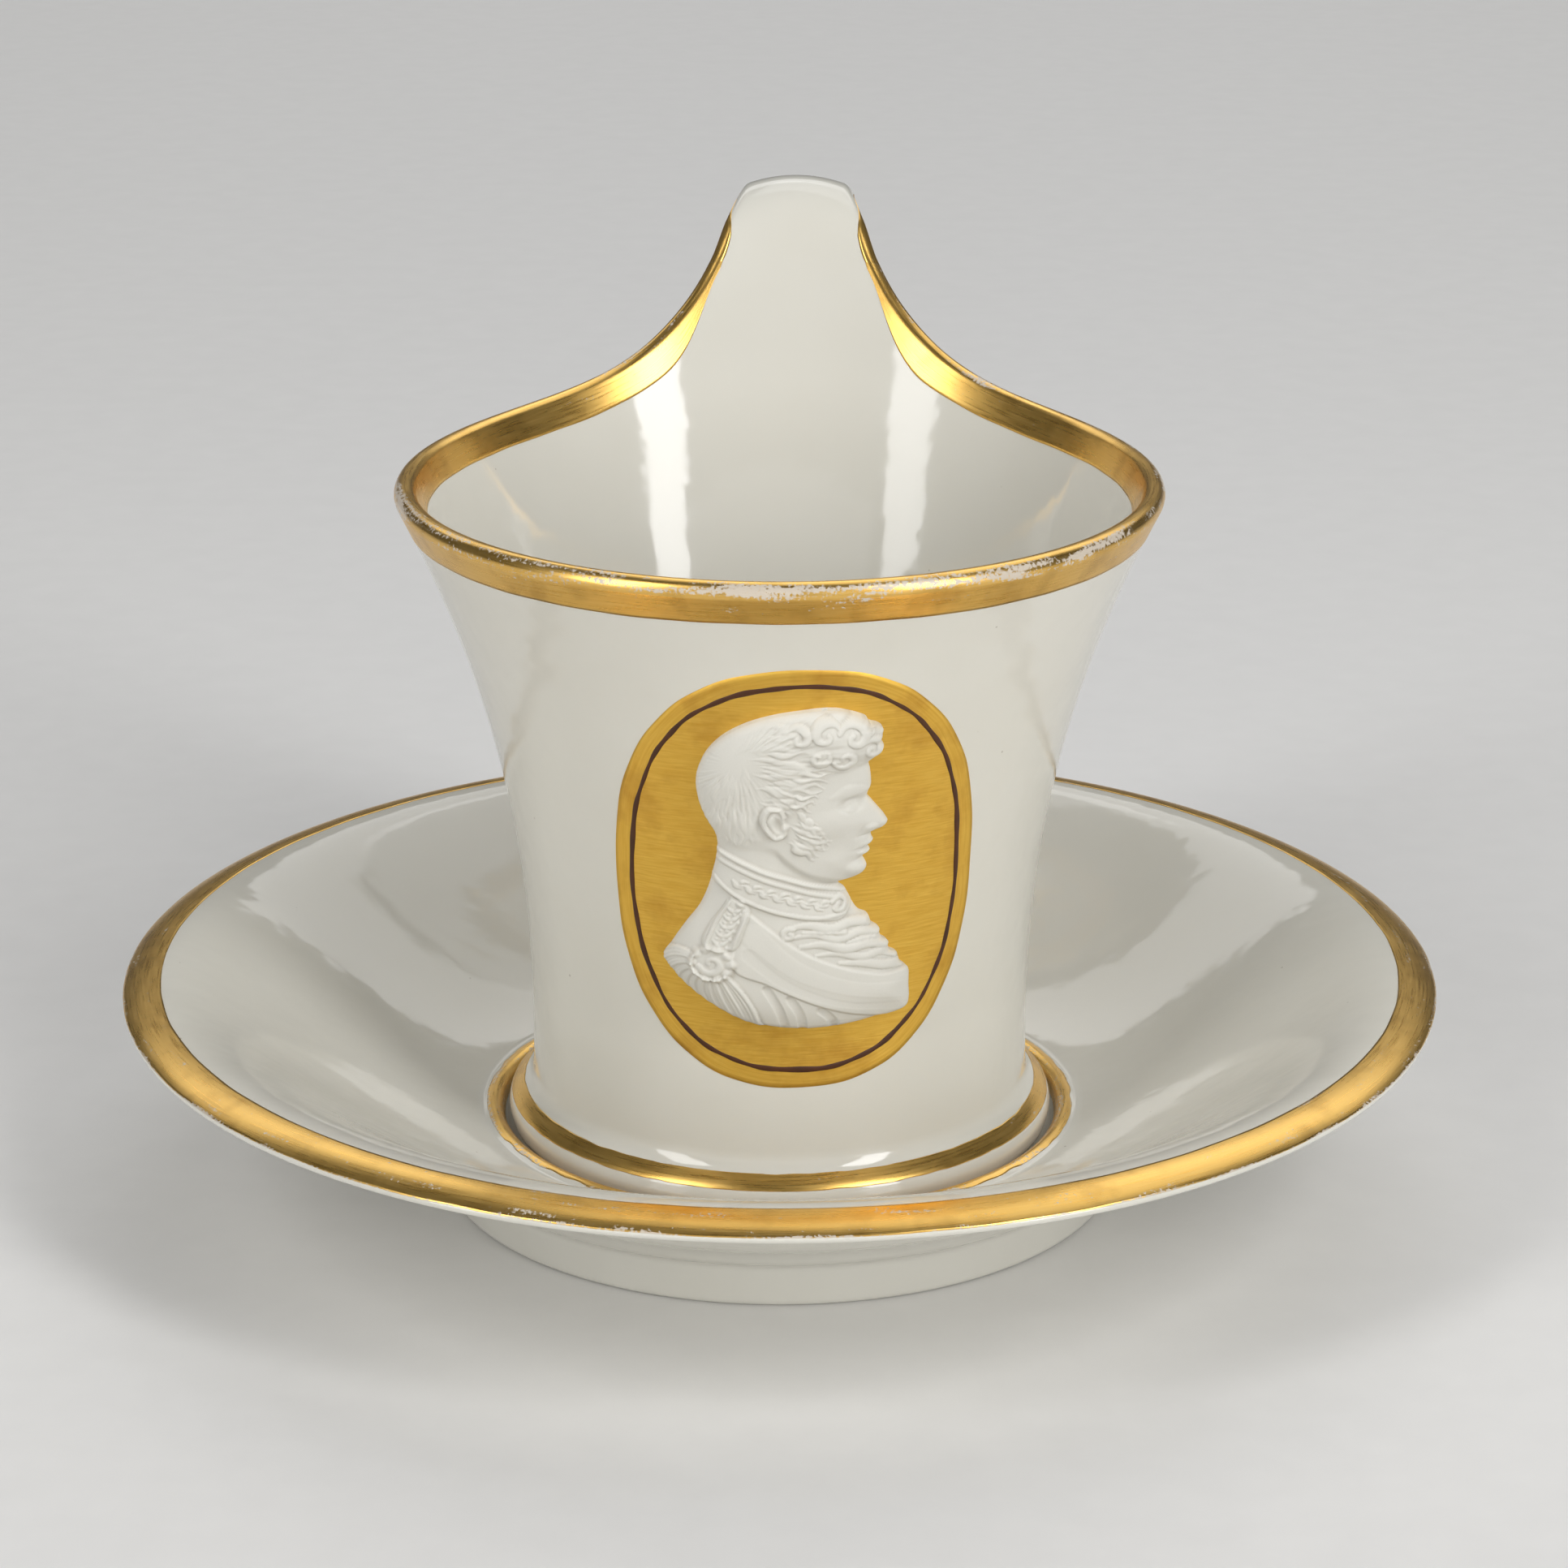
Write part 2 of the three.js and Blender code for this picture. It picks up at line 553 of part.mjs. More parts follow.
const groundRows = [];
for (let i = 0; i <= GROUND_ROWS; i += 1) {
  const swing = THREE.MathUtils.lerp(-0.97, 0.97, i / GROUND_ROWS) * Math.PI / 2;
  groundRows.push(medallionHeight / 2 * Math.sin(swing));
}
const groundTop = GILDING_SEAT + GILDING;
addPiece('medallion_ground', wrappedSheet(
  groundRows,
  GROUND_COLUMNS,
  GROUND_COLUMNS,
  (up) => [-ovalHalfWidth(up, 0), ovalHalfWidth(up, 0)],
  GILDING_SEAT,
  () => groundTop,
), mattGold);

// The painted line follows the oval at an even distance from its edge.
const lineSections = [];
const lineUnder = groundTop + GILDING_SEAT;
for (let i = 0; i < OVAL_STATIONS; i += 1) {
  const swing = 2 * Math.PI * i / OVAL_STATIONS;
  const power = 2 / MEDALLION_SQUARENESS;
  const corner = (inset, offset) => wrap(
    (MEDALLION_WIDTH / 2 - inset) * Math.sign(Math.cos(swing)) * Math.abs(Math.cos(swing)) ** power,
    (medallionHeight / 2 - inset) * Math.sign(Math.sin(swing)) * Math.abs(Math.sin(swing)) ** power,
    offset,
  );
  lineSections.push([
    corner(LINE_INSET + LINE_WIDTH, lineUnder + GILDING),
    corner(LINE_INSET, lineUnder + GILDING),
    corner(LINE_INSET, lineUnder),
    corner(LINE_INSET + LINE_WIDTH, lineUnder),
  ]);
}
addPiece('medallion_line', loft(lineSections, 'loop'), brownEnamel);

// The bust, in profile to the right, drawn in hundredths of the oval's half width and half height. Its
// outline runs through the landmarks of a plain classical head: the hair line, brow, foot of the nose and
// chin stand at equal thirds, and the eye halfway up the head.
const BUST_BACK = [
  [-14, -70], [-41, -62], [-65, -47], [-70, -37], [-59, -23], [-45, -8], [-41, 10], [-49, 29],
  [-52, 44], [-46, 59], [-32, 72], [-8, 79], [6, 80],
];
const BUST_FRONT = [
  [24, -70], [58, -64], [59, -45], [41, -27], [29, -10], [19, -4], [31, 0], [35, 4], [33, 9], [37, 12],
  [35, 14], [38, 18], [37, 21], [45, 25], [33, 39], [35, 44], [34, 54], [42, 63], [38, 72], [24, 80],
];
const BUST_BOTTOM = BUST_BACK[0][1];
const BUST_TOP = BUST_BACK[BUST_BACK.length - 1][1];
const bustAcross = MEDALLION_WIDTH / 200;
const bustUp = medallionHeight / 200;

function alongLandmarks(line, up) {
  let i = 0;
  while (i < line.length - 2 && up > line[i + 1][1]) {
    i += 1;
  }
  const share = (up - line[i][1]) / (line[i + 1][1] - line[i][1]);
  return THREE.MathUtils.lerp(line[i][0], line[i + 1][0], share);
}

// A rounded swelling over an oval footprint, 1 at its middle and 0 at its edge.
function swelling(across, up, [middle, level, halfWidth, halfHeight]) {
  const reach = ((across - middle) / halfWidth) ** 2 + ((up - level) / halfHeight) ** 2;
  return Math.sqrt(Math.max(0, 1 - reach));
}

// A raised band between two ends, with soft edges.
function raisedBand(across, up, [fromAcross, fromUp, toAcross, toUp, halfWidth]) {
  const run = new THREE.Vector2(toAcross - fromAcross, toUp - fromUp);
  const here = new THREE.Vector2(across - fromAcross, up - fromUp);
  const share = THREE.MathUtils.clamp(here.dot(run) / run.lengthSq(), 0, 1);
  const away = here.addScaledVector(run, -share).length();
  return 1 - smoothStep(0.75 * halfWidth, 1.15 * halfWidth, away);
}

// The relief's height over the gold, as a share of its depth.
function bustHeight(across, up) {
  const skull = 0.95 * swelling(across, up, [-7, 41, 51, 41]);
  const face = 0.88 * swelling(across, up, [15, 26, 35, 33]);
  const neck = 0.62 * swelling(across, up, [-7, -2, 44, 35]);
  const chest = 0.85 * swelling(across, up, [-5, -47, 81, 49]);
  let height = Math.max(skull, face, neck, chest);
  height += 0.16 * swelling(across, up, [24, 70, 21, 10]);
  height += 0.16 * swelling(across, up, [-11, 31, 7, 10]);
  height += 0.12 * swelling(across, up, [4, 23, 9, 13]);
  height -= 0.14 * swelling(across, up, [29, 38, 8, 5]);
  height += 0.12 * raisedBand(across, up, [-38, 1, 24, -17, 9]);
  height += 0.16 * raisedBand(across, up, [-31, -16, -41, -31, 7]);
  height += 0.22 * swelling(across, up, [-43, -36, 16, 11]);
  height += 0.14 * raisedBand(across, up, [-17, -30, 53, -54, 10]);
  return height;
}

const bustRows = [];
for (let i = 0; i <= BUST_ROWS; i += 1) {
  bustRows.push(bustUp * THREE.MathUtils.lerp(BUST_BOTTOM, BUST_TOP, i / BUST_ROWS));
}
const bustUnder = groundTop + GILDING_SEAT;
addPiece('portrait_relief', wrappedSheet(
  bustRows,
  BUST_COLUMNS,
  BUST_BACK_COLUMNS,
  (up) => [BUST_BACK, BUST_FRONT].map((line) => bustAcross * alongLandmarks(line, up / bustUp)),
  bustUnder,
  (across, up) => {
    const height = bustHeight(across / bustAcross, up / bustUp);
    return bustUnder + THREE.MathUtils.lerp(RELIEF_EDGE, RELIEF_DEPTH, height);
  },
), biscuit);

export default part;
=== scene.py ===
# %% [markdown]
# # A gilded porcelain cup in its saucer
# The object is a tall flared cup with a strap handle that grows out of its rim, standing in a deep saucer.
# Both are thrown in white porcelain, glazed, and gilded on the rims and the foot. On the front is an oval
# of matt gold, and on it lies a bust in unglazed biscuit porcelain. The imported solids give every size, so
# the first step loads them.

# %% Load the imported model
import bpy
import numpy as np
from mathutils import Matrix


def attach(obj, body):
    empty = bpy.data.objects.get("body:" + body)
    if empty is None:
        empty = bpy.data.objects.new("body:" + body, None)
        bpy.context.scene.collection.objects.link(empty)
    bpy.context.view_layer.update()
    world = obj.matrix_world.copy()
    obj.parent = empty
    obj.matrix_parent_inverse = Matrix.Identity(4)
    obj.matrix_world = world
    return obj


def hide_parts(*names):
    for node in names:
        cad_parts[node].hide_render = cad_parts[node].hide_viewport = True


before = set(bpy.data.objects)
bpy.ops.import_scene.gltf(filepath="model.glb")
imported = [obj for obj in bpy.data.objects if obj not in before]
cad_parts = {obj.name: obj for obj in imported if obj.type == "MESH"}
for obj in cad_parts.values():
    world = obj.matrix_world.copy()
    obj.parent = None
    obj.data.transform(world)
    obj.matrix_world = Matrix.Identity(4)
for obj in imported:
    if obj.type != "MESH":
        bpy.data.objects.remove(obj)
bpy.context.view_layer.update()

# %% [markdown]
# ## Camera, floor and light
# The camera looks down on the cup by about 19 degrees through a long lens, from half a metre away. Two tall
# softboxes stand at the front left and right, and give the two upright reflections inside the cup. A broad
# weak one behind the camera lights the front, one hangs overhead, one lights the floor behind the cup,
# and an even grey world fills the shadows. The floor is a plain pale sheet, wide enough to be the whole
# background. A picture of a studio could give the light too, but with lamps each reflection can be moved
# by itself.

# %% Camera, floor and light
def linear(code):
    """An sRGB hex colour as linear red, green, blue and alpha."""
    channels = [int(code[i:i + 2], 16) / 255 for i in (1, 3, 5)]
    return [c / 12.92 if c <= 0.04045 else ((c + 0.055) / 1.055) ** 2.4 for c in channels] + [1.0]


def add_node(tree, kind, inputs={}, **settings):
    """Adds a shader node, with its settings and with a link or a value for each input."""
    made = tree.nodes.new("ShaderNode" + kind)
    for name, value in settings.items():
        setattr(made, name, value)
    for socket, value in inputs.items():
        if isinstance(value, bpy.types.NodeSocket):
            tree.links.new(value, made.inputs[socket])
        else:
            made.inputs[socket].default_value = value
    return made


def new_material(name, build):
    """A material whose tree build() fills in. It returns the shader for the output."""
    material = bpy.data.materials.new(name)
    material.use_nodes = True
    material.node_tree.nodes.clear()
    shader = build(material.node_tree)
    add_node(material.node_tree, "OutputMaterial", {"Surface": shader.outputs[0]})
    print(name, "nodes:", len(material.node_tree.nodes))
    return material


scene = bpy.context.scene
scene.view_settings.view_transform = "Standard"
camera = bpy.data.objects.new("camera", bpy.data.cameras.new("camera"))
scene.collection.objects.link(camera)
look_down = 19.06
camera.location = (0.0, -0.4914, 0.2167)
camera.rotation_euler = (np.radians(90 - look_down), 0.0, 0.0)
camera.data.sensor_width = 36.0
camera.data.lens = 104.7
camera.data.shift_x = 0.0028
scene.camera = camera


# A texture's scale is how many of its cells fit in a metre, so it is a metre over a cell's size in mm.
metre = 1000.0


def paper_sweep(tree):
    """Uncoated paper: pale and matt."""
    # Its fibres are too fine to show, so their cloud is drawn about 1 mm wide.
    cloud = add_node(tree, "TexNoise", {"Scale": metre / 1.111, "Detail": 3.0}).outputs["Fac"]
    tone = add_node(tree, "Mix", {"Factor": cloud, "A": linear("#e4e3e1"), "B": linear("#eae9e7")},
                    data_type="RGBA").outputs["Result"]
    return add_node(tree, "BsdfPrincipled", {"Base Color": tone, "Roughness": 0.7})


floor_mesh = bpy.data.meshes.new("floor")
floor_mesh.from_pydata([(-3, -3, 0), (3, -3, 0), (3, 3, 0), (-3, 3, 0)], [], [(0, 1, 2, 3)])
floor = bpy.data.objects.new("floor", floor_mesh)
floor_mesh.materials.append(new_material("pale_paper_sweep", paper_sweep))
scene.collection.objects.link(floor)

world = bpy.data.worlds.new("studio")
scene.world = world
world.use_nodes = True
background = world.node_tree.nodes["Background"].inputs
background["Color"].default_value = linear("#e6e8ea")
background["Strength"].default_value = 0.115
aim_height = 0.06


def softbox(name, azimuth, elevation, distance, width, height, power):
    """A rectangular lamp that faces the cup. Azimuth runs from the front towards +X, in degrees."""
    data = bpy.data.lights.new(name, "AREA")
    data.shape = "RECTANGLE"
    data.size = width
    data.size_y = height
    data.energy = power
    lamp = bpy.data.objects.new(name, data)
    a, e = np.radians(azimuth), np.radians(elevation)
    lamp.location = distance * np.array([np.sin(a) * np.cos(e), -np.cos(a) * np.cos(e), np.sin(e)])
    lamp.location.z += aim_height
    lamp.rotation_euler = (np.radians(90 - elevation), 0.0, a)
    scene.collection.objects.link(lamp)
    return lamp


softbox("softbox_right", 45, 27, 1.0, 0.24, 1.0, 7.2)
softbox("softbox_left", -50, 27, 1.0, 0.25, 1.0, 5.0)
softbox("softbox_top", 160, 62, 1.1, 0.9, 0.7, 2.2)
softbox("front_fill", 0, 16, 2.2, 3.0, 1.2, 7.0)
floor_wash = softbox("floor_wash", 180, 38, 1.7, 2.4, 0.8, 9.5)
# This one points straight down.
floor_wash.rotation_euler = (0.0, 0.0, 0.0)

# %% [markdown]
# ## Shared sizes
# Every surface here is worked out from the same few curves as the solids, only with many more points, so
# the visual model lies on the solids. All of it is in millimetres until the mesh is made.

# %% Shared sizes and mesh helpers
well_floor, cup_base = 6.7, 7.0
waist_z, lip_z, seam_z = 18.3, 81.5, 96.0
waist_radius, rim_radius, flare_power = 28.5, 42.7, 2.2
cup_wall = 2.4
rim_slope = flare_power * (rim_radius - waist_radius) / (lip_z - waist_z)
gold_leaf = 0.05


def smooth(low, high, value):
    """Goes softly from 0 at low to 1 at high. Low may be the larger of the two."""
    share = np.clip((value - low) / (high - low), 0, 1)
    return share * share * (3 - 2 * share)


def bezier(points, count):
    """Points along a Bezier curve of any degree, by repeated blending of its control points."""
    t = np.linspace(0, 1, count)[:, None]
    level = [np.asarray(p, float)[None, :] for p in points]
    while len(level) > 1:
        level = [a * (1 - t) + b * t for a, b in zip(level, level[1:])]
    return level[0]


def run_length(line):
    """The distance along a line to each of its points."""
    return np.concatenate([[0], np.cumsum(np.linalg.norm(np.diff(line, axis=0), axis=1))])


def through(points, count):
    """A smooth line through the given points, with evenly spaced samples."""
    p = np.asarray(points, float)
    steps = run_length(p)
    slopes = np.gradient(p, steps, axis=0)
    s = np.linspace(0, steps[-1], count)
    i = np.clip(np.searchsorted(steps, s, side="right") - 1, 0, len(p) - 2)
    span = (steps[i + 1] - steps[i])[:, None]
    u = (s - steps[i])[:, None] / span
    return ((1 + 2 * u) * (1 - u) ** 2 * p[i] + u * (1 - u) ** 2 * span * slopes[i]
            + u * u * (3 - 2 * u) * p[i + 1] + u * u * (u - 1) * span * slopes[i + 1])


def grid_faces(index, closed=False):
    """Four-sided faces between neighbouring rows and columns of a grid of point numbers."""
    if closed:
        index = np.concatenate([index, index[:, :1]], axis=1)
    a, b, c, d = index[:-1, :-1], index[:-1, 1:], index[1:, 1:], index[1:, :-1]
    return np.stack([a, b, c, d], -1).reshape(-1, 4).tolist()


def add_piece(name, points, faces, material, body, nodes, slot, **fields):
    """Makes one piece of the object. Each field is a number per point that its material reads."""
    points = np.asarray(points, float).reshape(-1, 3)
    used = np.unique(np.concatenate([np.ravel(face) for face in faces]))
    renumber = np.full(len(points), -1)
    renumber[used] = np.arange(len(used))
    mesh = bpy.data.meshes.new(name)
    mesh.from_pydata((points[used] / metre).tolist(), [], [renumber[list(f)].tolist() for f in faces])
    mesh.shade_smooth()
    for key, values in fields.items():
        layer = mesh.attributes.new(key, "FLOAT", "POINT")
        layer.data.foreach_set("value", np.ravel(values)[used].astype(np.float32))
    mesh.materials.append(material)
    piece = bpy.data.objects.new(name, mesh)
    scene.collection.objects.link(piece)
    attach(piece, body)
    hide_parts(*nodes)
    print(name, "points:", len(used), "faces:", len(faces))
    return piece


def around(radius, angle, height):
    """Points round the Z axis. The angle runs from the front towards +X."""
    return np.stack(np.broadcast_arrays(radius * np.sin(angle), -radius * np.cos(angle), height), -1)


def numbered(points):
    """A number for each point of a grid."""
    return np.arange(points.shape[0] * points.shape[1]).reshape(points.shape[:2])


def turned(profile, segments):
    """Turns an open (radius, height) profile round the Z axis. Returns points, faces and point numbers."""
    angle = np.linspace(0, 2 * np.pi, segments, endpoint=False)
    points = around(profile[:, :1], angle, profile[:, 1:])
    index = numbered(points)
    return points, grid_faces(index, closed=True), index


# %% [markdown]
# ## Glazed porcelain
# Hard porcelain is a dense white clay under a clear glaze, fired together. The eye sees a cool white body,
# a sharp reflection on top, a faint ripple where the glaze settled, and now and then a dark speck of iron.
# An image could be wrapped round the cup for this. Patterns worked out in space are used instead, because
# they have no seam and aren't stretched where the form is round.

# %% Glazed porcelain
def glazed_porcelain(tree):
    """White clay under a clear glaze: a sharp reflection on a soft white, with a ripple and rare specks."""
    place = add_node(tree, "TexCoord").outputs["Object"]
    # The white drifts in clouds about 17 mm wide.
    cloud = add_node(tree, "TexNoise", {"Vector": place, "Scale": metre / 16.67,
                                        "Detail": 2.0}).outputs["Fac"]
    body = add_node(tree, "Mix", {"Factor": cloud, "A": linear("#d5d2c7"), "B": linear("#dbd9d0")},
                    data_type="RGBA").outputs["Result"]
    # Specks: one cell is 8 mm wide, and a speck is about 0.25 mm across.
    cells = add_node(tree, "TexVoronoi", {"Vector": place, "Scale": metre / 8}).outputs["Distance"]
    speck = add_node(tree, "MapRange", {"Value": cells, "From Min": 0.012, "From Max": 0.022,
                                        "To Min": 0.55, "To Max": 0.0}).outputs["Result"]
    colour = add_node(tree, "Mix", {"Factor": speck, "A": body, "B": linear("#8d8373")},
                      data_type="RGBA").outputs["Result"]
    # The ripple of the glaze is about 6 mm from crest to crest.
    ripple = add_node(tree, "TexNoise", {"Vector": place, "Scale": metre / 6.25,
                                         "Detail": 2.0}).outputs["Fac"]
    rippled = add_node(tree, "Bump", {"Height": ripple, "Strength": 0.26, "Distance": 0.0004}).outputs[0]
    gloss = add_node(tree, "MapRange", {"Value": cloud, "To Min": 0.05, "To Max": 0.11}).outputs["Result"]
    return add_node(tree, "BsdfPrincipled", {
        "Base Color": colour, "Roughness": gloss, "IOR": 1.5, "Normal": rippled})


porcelain = new_material("hard_porcelain_glazed", glazed_porcelain)

# %% [markdown]
# ## Saucer
# The saucer is thrown and turned, so one profile turned round the axis makes it all: the foot ring that it
# stands on, the underside, the lip that rolls outwards, the bowl, and the raised ring round the cup's seat.

# %% Saucer
def fillet(corner_line, radius, steps=5):
    """Rounds the inner corners of a profile, each by a short curve that starts radius before it."""
    line = np.asarray(corner_line, float)
    made = [line[:1]]
    for before, corner, after in zip(line, line[1:], line[2:]):
        back, on = before - corner, after - corner
        reach = min(radius, 0.45 * np.linalg.norm(back), 0.45 * np.linalg.norm(on))
        start = corner + back * reach / np.linalg.norm(back)
        end = corner + on * reach / np.linalg.norm(on)
        made.append(bezier([start, corner, end], steps))
    return np.concatenate(made + [line[-1:]])


def offset_line(line, distance):
    """Moves each point of a profile sideways, to its left as it runs."""
    along = np.gradient(line, axis=0)
    along /= np.linalg.norm(along, axis=1)[:, None]
    return line + distance * np.stack([-along[:, 1], along[:, 0]], -1)


saucer_radius, saucer_height, saucer_wall, saucer_edge = 75.2, 26.1, 2.6, 1.1
lip_width, lip_drop = 4.7, 1.3
well_radius, ring_width, ring_top = 32.0, 2.6, 8.9
flank_start = np.array([well_radius + ring_width, ring_top - 0.5])
lip_crest = np.array([saucer_radius - lip_width, saucer_height])
flank_span = lip_crest[0] - flank_start[0]
flank = bezier([flank_start, flank_start + flank_span * np.array([0.38, 0.05]),
                lip_crest - [0.22 * flank_span, 0], lip_crest], 48)
lip_edge = np.array([saucer_radius, saucer_height - lip_drop])
saucer_lip = bezier([lip_crest, lip_crest + [0.6 * lip_width, 0], lip_edge], 16)
ring_bead = through([(well_radius, well_floor + 0.55), (well_radius + 0.4, ring_top - 0.5),
                     (well_radius + 1.17, ring_top), (well_radius + 1.95, ring_top - 0.2), flank_start], 20)
dish_top = np.concatenate([flank, saucer_lip[1:]])
# The dish is thinned towards its edge, from halfway up the flank.
thinning = smooth((flank_start[0] + lip_crest[0]) / 2, saucer_radius, dish_top[:, :1])
dish_under = offset_line(dish_top, -saucer_wall + (saucer_wall - saucer_edge) * thinning)
# The underside is kept from the foot ring to just short of the rounded edge.
past_ring = (dish_under[:, 0] > 41.8) & (dish_under[:, 1] > 6.5)
dish_under = dish_under[past_ring][:-3]
foot_ring = [(0.0, 3.4), (35.0, 3.4), (36.2, 0.0), (39.2, 0.0), (39.9, 5.2), (41.4, 6.05)]
foot = fillet(foot_ring + [dish_under[0]], 0.9)
edge_round = bezier([dish_under[-1], lip_edge + [-0.3, -1.15], lip_edge + [0.12, -0.5], lip_edge], 10)
seat = fillet([ring_bead[0], (well_radius - 0.5, well_floor), (24.0, well_floor), (0.0, well_floor)], 0.8)
saucer_profile = np.concatenate([foot, dish_under[1:], edge_round[1:], dish_top[::-1][1:],
                                 ring_bead[::-1][1:], seat[1:]])
saucer_profile[0, 0] = saucer_profile[-1, 0] = 0.01
points, faces, index = turned(saucer_profile, 240)
faces += [index[0].tolist(), index[-1][::-1].tolist()]
add_piece("saucer_dish_glazed", points, faces, porcelain, "saucer", ["saucer_dish"], "porcelain")

# %% [markdown]
# ## Cup and handle
# The real cup is thrown, its rim is cut to sweep up into a tongue, and a strap is luted on that carries the
# tongue over in a loop and back to the wall. The glaze hides both joins, so cup and strap are one skin here.
# Each column of the skin runs from the foot up the outside, over the lip and down the inside. On the tongue
# the columns stop at the seam, where a tube of the same points goes on round the strap.

# %% The cup's wall and rim
handle_angle = np.pi - np.radians(2.1)
tongue_gain, tongue_spread, tongue_rise = 46.8, 8.0, 14.5
tongue_half = tongue_spread * np.log(tongue_gain / tongue_rise)


def wall_radius(z):
    """The outside radius at a height. Above the lip's level the wall goes on straight."""
    share = np.clip((z - waist_z) / (lip_z - waist_z), 0, 1)
    flare = (rim_radius - waist_radius) * share ** flare_power
    return waist_radius + flare + rim_slope * np.maximum(0, z - lip_z)


def wall_point(angle, z, offset):
    """A point of the wall. The offset goes along the outward normal."""
    slope = rim_slope * np.clip((z - waist_z) / (lip_z - waist_z), 0, 1) ** (flare_power - 1)
    length = np.hypot(1, slope)
    return around(wall_radius(z) + offset / length, angle, z - offset * slope / length)


def rim_height(turn):
    """The rim's height at an angle from the handle: it sweeps up into the tongue."""
    z = np.full(np.shape(turn), lip_z)
    for _ in range(40):
        z = np.minimum(seam_z, lip_z + tongue_gain * np.exp(-wall_radius(z) * np.abs(turn) / tongue_spread))
    return z


def lip_point(turn, share, offset):
    """The lip's half round: share 0 is its outer side, 1 its inner side. It leans sideways on the tongue."""
    z = rim_height(turn)
    angle = handle_angle + turn
    middle = wall_point(angle, z, -cup_wall / 2)
    outward = wall_point(angle, z, 1.0) - wall_point(angle, z, 0.0)
    upward = wall_point(angle, z + 0.01, 0.0) - wall_point(angle, z, 0.0)
    upward /= np.linalg.norm(upward, axis=-1, keepdims=True)
    sideways = -np.sign(turn)[..., None] * np.cross(outward, upward)
    steepness = np.arctan((z - lip_z) / tongue_spread)
    lean = steepness + (np.pi / 2 - steepness) * smooth(0.3, 1, (z - lip_z) / tongue_rise)
    away = upward * np.cos(lean)[..., None] + sideways * np.sin(lean)[..., None]
    swing = np.pi * share
    return middle + (outward * np.cos(swing) + away * np.sin(swing)) * (cup_wall / 2 + offset)


tongue_angle = tongue_half / wall_radius(seam_z)
share = np.linspace(0, 1, 241)
share = share - 0.6 * np.sin(2 * np.pi * share) / (2 * np.pi)
rim_turns = tongue_angle + (2 * np.pi - 2 * tongue_angle) * share
rim_turns = np.where(rim_turns > np.pi, rim_turns - 2 * np.pi, rim_turns)
tongue_turns = np.linspace(-tongue_angle, tongue_angle, 26)[1:-1]
print("tongue, mm wide at the seam: %.1f" % (2 * tongue_half))

# %% One skin for the cup
foot_line = [(31.5, 8.82), (31.5, 11.16), (waist_radius, 11.16), (waist_radius, 13.76)]
foot_curve = bezier(foot_line, 24)
under_foot = [(0.01, 9.2), (27.2, 9.2), (27.9, cup_base), (31.2, cup_base)]
foot_under = fillet(under_foot + [foot_curve[0], foot_curve[3]], 0.7)
foot_profile = np.concatenate([foot_under[:-1], foot_curve[4:]])
bowl_floor, bowl_round = 12.6, 5.0
bowl_start = bowl_floor + bowl_round
swing = np.radians(np.linspace(0, 90, 10))[1:]
bowl_radius = wall_radius(bowl_start) - cup_wall
bowl = np.stack([bowl_radius - bowl_round * (1 - np.cos(swing)), bowl_start - bowl_round * np.sin(swing)], -1)
bowl = np.concatenate([bowl, [(12.0, bowl_floor - 0.1), (0.01, bowl_floor - 0.15)]])

turns = np.concatenate([rim_turns, tongue_turns])
on_rim = np.arange(len(turns)) < len(rim_turns)
tops = np.where(on_rim, rim_height(turns), seam_z)
angle = handle_angle + turns
rows = [around(r, angle, z) for r, z in foot_profile]
wall_start = foot_profile[-1, 1]
rows += [wall_point(angle, wall_start + (tops - wall_start) * s, 0.0) for s in np.linspace(0, 1, 64)[1:-1]]
lip_start = len(rows)
for s in np.linspace(0, 1, 13):
    on_lip = lip_point(turns, s, 0.0)
    on_seam = wall_point(angle, seam_z, -cup_wall * s)
    rows.append(np.where(on_rim[:, None], on_lip, on_seam))
lip_end = len(rows) - 1
depth = tops - bowl_start
rows += [wall_point(angle, bowl_start + depth * s, -cup_wall) for s in np.linspace(1, 0, 64)[1:]]
rows += [around(r, angle, z) for r, z in bowl]
skin = np.stack(rows)
skin_index = numbered(skin)
print("cup's skin, rows and columns:", *skin.shape[:2])
faces = grid_faces(skin_index[:lip_start + 1], closed=True) + grid_faces(skin_index[lip_end:], closed=True)
faces += grid_faces(skin_index[lip_start:lip_end + 1, :len(rim_turns)])
faces += [skin_index[0].tolist(), skin_index[-1][::-1].tolist()]

# %% [markdown]
# ## Strap
# The strap's centre line leaves the tongue along the wall, turns over the crest and runs back to the wall
# in three curves. A station is a place on it, with a width, a thickness and a bend across that fades out
# over the first curve, because the tongue is still part of a round wall. From there on the side that faces
# away from the cup is crowned, as a strap is that is pulled between finger and thumb.

# %% The strap's centre line and stations
wall_along = np.array([rim_slope, 1.0]) / np.hypot(1, rim_slope)
wall_out = np.array([1.0, -rim_slope]) / np.hypot(1, rim_slope)
strap_start = np.array([wall_radius(seam_z), seam_z]) - wall_out * cup_wall / 2
crest_out, crest_up = 6.6, 6.2
loop_out, loop_fall = 13.0, 21.6
strap_foot_z = 38.5
crest = strap_start + 0.3 * wall_along + [crest_out, crest_up]
loop_back = crest + [loop_out, -loop_fall]
loop_foot = np.array([wall_radius(strap_foot_z), strap_foot_z])
loop_drop, loop_span = loop_back[1] - loop_foot[1], loop_back[0] - loop_foot[0]
strap_runs = [
    [strap_start, strap_start + 0.55 * crest_up * wall_along, crest - [crest_out / 2, 0], crest],
    [crest, crest + [0.62 * loop_out, 0], loop_back + [0, 0.5 * loop_fall], loop_back],
    [loop_back, loop_back - [0, 0.5 * loop_drop], loop_foot + [0.55 * loop_span, 0.2 * loop_drop],
     loop_foot]]
run_counts = [40, 56, 70]
